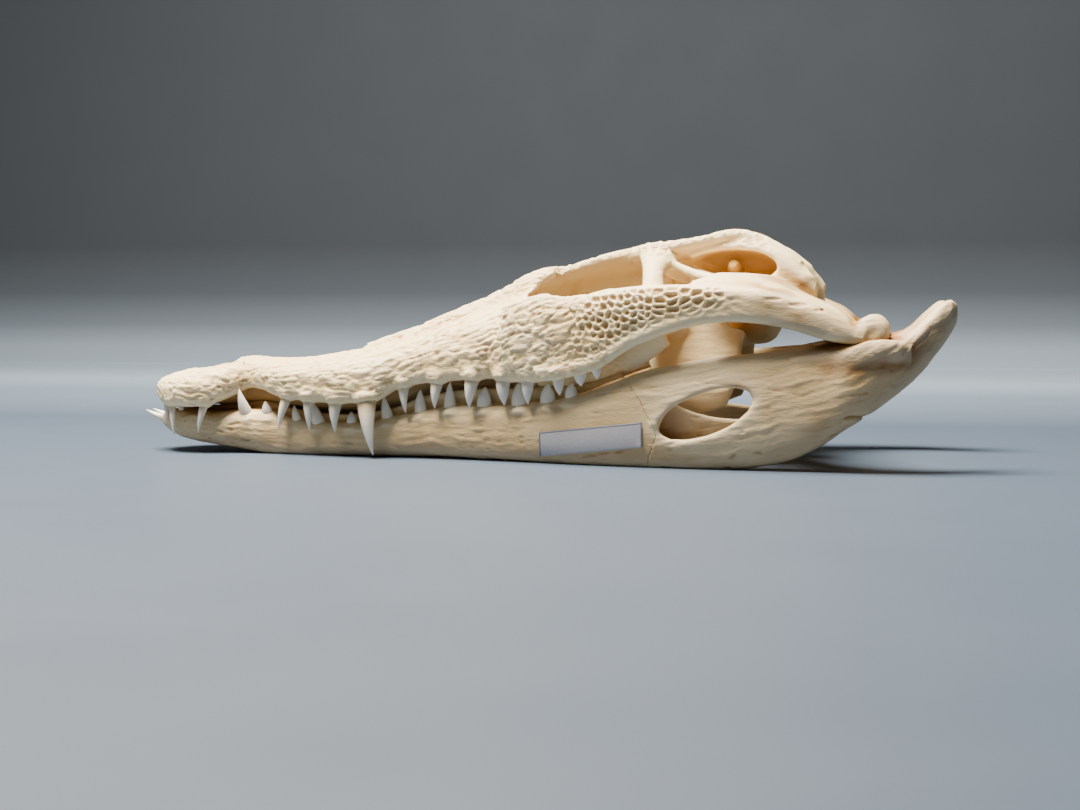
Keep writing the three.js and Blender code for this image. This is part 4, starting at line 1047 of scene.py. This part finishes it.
def dry_bone():
    """Ivory bone with painted light and shade: paler on the ridges as a painted highlight with some
    wear, brown in pits and crevices as painted shade, amber where it is shut in as painted shade with
    some stain, and tan toward the back of the skull and over the lower jaw, on the jaw's underside as
    painted shade; with a chalky grain and fine worm-like grooves where it is rough."""
    wire, shader, made = finish("dry_bone")
    place = wire.node("TexCoord", out=3)
    names = ("pit", "rough", "tan", "crevice", "shut_in")
    pit, rough, tan, crevice, shut_in = (
        wire.node("Attribute", {"attribute_name": name}, out=2) for name in names
    )
    along = wire.node("Mapping", Vector=place, Scale=(0.3, 1, 1))
    cloud = wire.node("TexNoise", Vector=place, Scale=28.0, Detail=4.0)
    blotch = wire.node("TexNoise", Vector=along, Scale=150.0, Detail=5.0, Roughness=0.6)
    grain = wire.node("TexNoise", Vector=along, Scale=1300.0, Detail=3.0)
    worm = wire.node("TexNoise", Vector=along, Scale=560.0, Detail=3.0, Roughness=0.55, Distortion=0.7)
    ivory = [(0.3, (0.82, 0.59, 0.27)), (0.55, (0.89, 0.70, 0.38)), (0.75, (0.93, 0.79, 0.49))]
    color = wire.node("ValToRGB", {"stops": ivory}, i0=cloud)
    color = color.tinted((0.76, 0.52, 0.25, 1), (blotch.from_to(0.54, 0.75) * 0.45).clamped())
    # Tan toward the back of the skull and over the lower jaw; on the jaw's faces turned down this darkening
    # is painted shade.
    color = color.darkened(tan, (0.47, 0.35, 0.20, 1))
    color = color.darkened(tan.from_to(0.6, 0.95) * 0.85, (0.58, 0.44, 0.28, 1))
    # Painted highlight, with some wear: paler where the bone is open, on its ridges.
    color = color.tinted((0.95, 0.83, 0.58, 1), crevice.from_to(0.40, 0.24) * 0.5)
    color = color.darkened((worm.from_to(0.50, 0.36) * rough * 0.45).clamped(), (0.70, 0.56, 0.38, 1))
    # Painted shade: brown in the pits.
    color = color.darkened((pit.from_to(0.2, 0.9) * 0.7).clamped(), (0.58, 0.42, 0.26, 1))
    # Painted shade: brown in the crevices.
    color = color.darkened((crevice.from_to(0.50, 0.72) * 0.6).clamped(), (0.68, 0.50, 0.30, 1))
    # Painted shade, with some stain: amber where the bone is shut in.
    color = color.darkened((shut_in * 0.85).clamped(), (0.85, 0.73, 0.53, 1))
    color = color.darkened(shut_in.from_to(0.65, 1.0) * 0.75, (0.56, 0.46, 0.30, 1))
    roughness = (0.46 + 0.16 * grain + 0.12 * pit).clamped()
    height = 0.4 * grain + 0.7 * blotch + worm * (0.25 + 1.1 * rough)
    bump = wire.node("Bump", Height=height, Strength=0.6, Distance=0.0006)
    wire.feed(shader, Base_Color=color, Roughness=roughness, Normal=bump)
    wire.feed(shader, Subsurface_Weight=0.12, Subsurface_Radius=(1.0, 0.55, 0.3), Subsurface_Scale=0.003)
    return made


bone_finish = dry_bone()
for name, field in skull_bones.items():
    bone(name, *skin(mirrored(field), -(COUNT[1] - MIDDLE_ROW - 1) * VOXEL), skull, relief_of_skull)
for sides, body, relief in ((skull_sides, skull, relief_of_skull), (jaw_sides, jaw_field, relief_of_jaw)):
    for name, field in sides.items():
        points, quads = skin(right_side(field), LOW[1])
        bone(name + "_right", points, quads, body, relief)
        bone(name + "_left", points * [1, -1, 1], quads[:, ::-1], body, relief)

# ---- the teeth --------------------------------------------------------------------------------------
# Hollow-rooted cones of dentine under smooth enamel, slightly bowed back and in, with a fine keel
# before and behind. The front ones are slender and the hind ones short and leaf-shaped.


CROWN_RINGS, CROWN_SIDES = 30, 28
ROOT = 3.5  # how far a crown reaches into its socket


def teeth(rows, side, rings=CROWN_RINGS, sides=CROWN_SIDES):
    """The crowns of one tooth row on one side, as one mesh. A crown's half width falls as 1 - t to
    the power 0.86, t being 0 at the gum and 1 at the tip, and blunt teeth bulge at their middle."""
    points, quads = [], []
    for s, w, z, s_tip, w_tip, z_tip, width in rows:
        base, tip = np.array([s, w, z]), np.array([s_tip, w_tip, z_tip])
        length = np.linalg.norm(tip - base)
        run = (tip - base) / length
        blunt = smooth(2.4, 1.3, length / width)
        t = np.linspace(-ROOT / length, 1, rings)
        inside = np.clip(t, 0, 1)
        taper = (1 - inside) ** (0.86 - 0.06 * blunt) * (1 + (0.10 + 0.75 * blunt) * inside)
        half = width / 2 * np.where(t < 0, 1 + 0.25 * t * length / ROOT, taper) + 0.02
        u = np.array([1, 0.01, 0]) - run * run[0]
        u /= np.linalg.norm(u)
        v = np.cross(run, u)
        v *= np.sign(v[1])
        bow = 0.06 * length * 4 * inside * (1 - inside)
        centre = base + run * (t * length)[:, None] + v * bow[:, None] - u * (0.3 * bow)[:, None]
        angle = 2 * np.pi * np.arange(sides) / sides
        keel = 1 + 0.10 * np.abs(np.cos(angle)) ** 8
        flat = 1 - 0.16 * blunt
        section = (keel * np.cos(angle))[:, None] * u + (flat * np.sin(angle))[:, None] * v
        start = sum(len(p) for p in points)
        rung = start + np.arange(rings - 1)[:, None] * sides
        k, after = np.arange(sides), (np.arange(sides) + 1) % sides
        faces = np.stack([rung + k, rung + after, rung + sides + after, rung + sides + k], -1)
        faces = faces.reshape(-1, 4)
        around = np.arange(sides // 2 - 1)
        ends = []
        for first in (start, start + (rings - 1) * sides):
            low, high = first + around, first + sides - 1 - around
            ends.append(np.stack([low, low + 1, high - 1, high], -1))
        faces = np.vstack([faces, ends[0][:, ::-1], ends[1]])
        points.append((centre[:, None] + half[:, None, None] * section).reshape(-1, 3))
        quads.append(faces)
    points = np.vstack(points) * [1, side, 1]
    return points, facing_out(points, np.vstack(quads))


def enamel():
    """Cool white enamel, yellower at the gum, with faint lines up the crown."""
    wire, shader, made = finish("enamel")
    height = wire.node("Attribute", {"attribute_name": "up_crown"}, out=2)
    place = wire.node("TexCoord", out=3)
    lines = wire.node("Mapping", Vector=place, Scale=(1, 1, 0.12))
    streak = wire.node("TexNoise", Vector=lines, Scale=1500.0, Detail=3.0)
    cloud = wire.node("TexNoise", Vector=place, Scale=160.0, Detail=2.0)
    stops = [(0.0, (0.60, 0.44, 0.25)), (0.2, (0.80, 0.71, 0.56)), (0.6, (0.86, 0.82, 0.74))]
    color = wire.node("ValToRGB", {"stops": stops}, i0=height)
    stain = (streak.from_to(0.5, 0.75) * 0.35 + cloud.from_to(0.5, 0.8) * 0.25).clamped()
    color = color.tinted((0.68, 0.62, 0.52, 1), stain)
    bump = wire.node("Bump", Height=streak, Strength=0.2, Distance=0.0002)
    wire.feed(shader, Base_Color=color, Roughness=0.26 + 0.16 * streak, Normal=bump)
    wire.feed(shader, Subsurface_Weight=0.1, Subsurface_Radius=(1.0, 0.7, 0.5), Subsurface_Scale=0.001)
    return made


enamel_finish = enamel()
rows_of_teeth = {"premaxilla": UPPER_TEETH[:3], "maxilla": UPPER_TEETH[3:], "dentary": LOWER_TEETH}
for jaw_bone, rows in rows_of_teeth.items():
    for label, side in (("left", -1), ("right", 1)):
        points, quads = teeth(rows, side)
        made = wrapped_mesh(f"teeth_{jaw_bone}_{label}", points, quads)
        up_crown = np.repeat(np.linspace(-0.2, 1, CROWN_RINGS), CROWN_SIDES)
        kept_number(made, "up_crown", np.tile(up_crown, len(rows)))
        made.data.materials.append(enamel_finish)
        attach(made, "root")

# ---- the label --------------------------------------------------------------------------------------
# A strip of white paper pasted on the left half of the jaw, with a thin printed line along its
# upper and front edges and nothing written on it.

LABEL = {"start": 210.0, "length": 50.6, "low": 3.3, "height": 11.7, "rise": 0.122, "thick": 0.16}


def jaw_outside(s, z):
    """How far from the midline the jaw's outer surface is at s and z: w and the half width there,
    less what its oval section takes off above and below the widest line."""
    w, half, bottom, widest, top = jaw_at(s)
    y = (z - widest) / np.where(z > widest, top - widest, widest - bottom)
    return w + half * (1 - np.minimum(0.97, np.abs(y)) ** JAW_OVAL) ** (1 / JAW_OVAL)


def paper_strip(cells_along=60, cells_up=16):
    """The strip lies on the jaw, a point (s, z) at its outer surface and a little over, as a front
    and a back sheet sewn at the edges."""
    i, j = np.meshgrid(np.linspace(0, 1, cells_along + 1), np.linspace(0, 1, cells_up + 1), indexing="ij")
    s = LABEL["start"] + LABEL["length"] * i
    z = LABEL["low"] + LABEL["rise"] * (s - LABEL["start"]) + LABEL["height"] * j
    curl = 0.35 + 0.25 * smooth(0.93, 1, i) * smooth(0.4, 0, j)
    under = jaw_outside(s, z) + curl
    sheets = [np.stack([s, -(under + out), z], -1).reshape(-1, 3) for out in (0.0, LABEL["thick"])]
    points = np.vstack(sheets)
    n = (cells_along + 1) * (cells_up + 1)
    at = np.arange(n).reshape(cells_along + 1, cells_up + 1)
    a, b, c, d = at[:-1, :-1], at[1:, :-1], at[1:, 1:], at[:-1, 1:]
    face = np.stack([a, b, c, d], -1).reshape(-1, 4)
    edge = np.concatenate([at[:, 0], at[-1, 1:], at[-2::-1, -1], at[0, -2::-1]])
    rim = np.stack([edge[:-1], edge[1:], edge[1:] + n, edge[:-1] + n], -1)
    quads = np.vstack([face + n, face[:, ::-1], rim])
    return points, facing_out(points, quads), np.tile(i.ravel(), 2), np.tile(j.ravel(), 2)


def paper():
    """Matt white paper with a fine tooth and a dark line near its upper and front edges, its white
    set grey as painted shade.
    """
    wire, shader, made = finish("label_paper")
    i, j = (wire.node("Attribute", {"attribute_name": name}, out=2) for name in ("strip_along", "strip_up"))
    place = wire.node("TexCoord", out=3)
    fibre = wire.node("TexNoise", Vector=place, Scale=900.0, Detail=4.0)
    line = i.maths("MAXIMUM", i.from_to(0.016, 0.012), j.from_to(0.91, 0.93)).clamped()
    # The white is set grey: painted shade for the shade that the label lies in on the jaw.
    white = [(0.3, (0.39, 0.38, 0.42)), (0.7, (0.45, 0.44, 0.48))]
    color = wire.node("ValToRGB", {"stops": white}, i0=fibre)
    color = color.tinted((0.07, 0.08, 0.12, 1), line * 0.9)
    bump = wire.node("Bump", Height=fibre, Strength=0.15, Distance=0.0002)
    wire.feed(shader, Base_Color=color, Roughness=0.6, Normal=bump)
    return made


points, quads, strip_along, strip_up = paper_strip()
label = wrapped_mesh("paper_label", points, quads)
kept_number(label, "strip_along", strip_along)
kept_number(label, "strip_up", strip_up)
label.data.materials.append(paper())
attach(label, "root")
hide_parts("label")

# ---- the table, the light and the camera ------------------------------------------------------------
# A plain pale table top before a grey wall, soft light from above, and a camera near the height of
# the skull on its left side. The colours of the table top and the wall carry painted light and
# shade: the table dark near the camera and brightening to a pale band far off, the wall bright at
# its foot and going dark above.


def painted_light_grade(name, axis, stops, rough):
    """An even finish whose colour runs through stops, (metres along the axis, color) each: painted
    light and shade laid across a flat sheet.
    """
    wire, shader, made = finish(name)
    place = wire.node("TexCoord", out=3)
    along = wire.node("SeparateXYZ", out="XYZ".index(axis), Vector=place)
    first, last = stops[0][0], stops[-1][0]
    even = wire.node("MapRange", Value=along, From_Min=first, From_Max=last)
    even_stops = [((at - first) / (last - first), value) for at, value in stops]
    color = wire.node("ValToRGB", {"stops": even_stops}, i0=even)
    wear = wire.node("TexNoise", Vector=place, Scale=14.0, Detail=5.0)
    wire.feed(shader, Base_Color=color, Roughness=rough + 0.1 * wear)
    return made


def flat_sheet(name, corners, finish_made):
    """One flat face through four corners in metres, as part of the room."""
    mesh = bpy.data.meshes.new(name)
    mesh.from_pydata(corners, [], [(0, 1, 2, 3)])
    made = bpy.data.objects.new(name, mesh)
    bpy.context.collection.objects.link(made)
    made.data.materials.append(finish_made)


# Painted light and shade on the table top: dark near the camera, brightening far off.
TABLE_PAINTED_LIGHT = [
    (-0.3, (0.055, 0.080, 0.123)),
    (0.25, (0.061, 0.088, 0.133)),
    (0.62, (0.18, 0.24, 0.33)),
    (0.85, (0.35, 0.45, 0.59)),
    (1.3, (0.39, 0.50, 0.64)),
]
# Painted light and shade on the wall: brightest at its foot, dark from a few centimetres up.
WALL_PAINTED_LIGHT = [
    (0.0, (0.265, 0.33, 0.41)),
    (0.022, (0.235, 0.29, 0.365)),
    (0.05, (0.12, 0.147, 0.187)),
    (0.09, (0.053, 0.065, 0.084)),
    (0.15, (0.029, 0.036, 0.047)),
    (0.6, (0.034, 0.042, 0.055)),
]
WALL_Y = 1.3
top_corners = [(-3, -2, 0), (3, -2, 0), (3, WALL_Y, 0), (-3, WALL_Y, 0)]
wall_corners = [(-4, WALL_Y, 0), (4, WALL_Y, 0), (4, WALL_Y, 3), (-4, WALL_Y, 3)]
flat_sheet("table_top", top_corners, painted_light_grade("table_top", "Y", TABLE_PAINTED_LIGHT, 0.42))
flat_sheet("wall", wall_corners, painted_light_grade("wall", "Z", WALL_PAINTED_LIGHT, 0.8))


def soft_light(name, place, target, size, watts, tint=(1, 1, 1)):
    """A square soft box of size metres that faces target."""
    made = bpy.data.objects.new(name, bpy.data.lights.new(name, "AREA"))
    made.data.shape, made.data.size = "SQUARE", size
    made.data.energy, made.data.color = watts, tint
    made.location = place
    made.rotation_euler = (Vector(target) - Vector(place)).to_track_quat("-Z", "Y").to_euler()
    bpy.context.collection.objects.link(made)


soft_light("overhead", (-0.28, -0.12, 1.15), (0, 0, 0), 0.5, 108, (1.0, 0.905, 0.75))
soft_light("left_front", (-0.9, -1.1, 0.8), (0, 0, 0.04), 0.8, 0.5, (1.0, 0.96, 0.90))
world = bpy.data.worlds.new("room")
bpy.context.scene.world = world
world.use_nodes = True
world.node_tree.nodes["Background"].inputs["Color"].default_value = (0.55, 0.58, 0.62, 1)
world.node_tree.nodes["Background"].inputs["Strength"].default_value = 0.06

AZIMUTH, ELEVATION, DISTANCE = np.radians(11.0), np.radians(3.2), 0.9
target = np.array([(200.4 + SHIFT) / 1000, 0, 0.0248])
level = np.cos(ELEVATION)
back = np.array([np.sin(AZIMUTH) * level, -np.cos(AZIMUTH) * level, np.sin(ELEVATION)])
camera = bpy.data.objects.new("camera", bpy.data.cameras.new("camera"))
camera.data.lens, camera.data.sensor_width, camera.data.sensor_fit = 60.0, 36.0, "HORIZONTAL"
camera.location = target + DISTANCE * back
camera.rotation_euler = Vector(-back).to_track_quat("-Z", "Y").to_euler()
bpy.context.collection.objects.link(camera)
bpy.context.scene.camera = camera
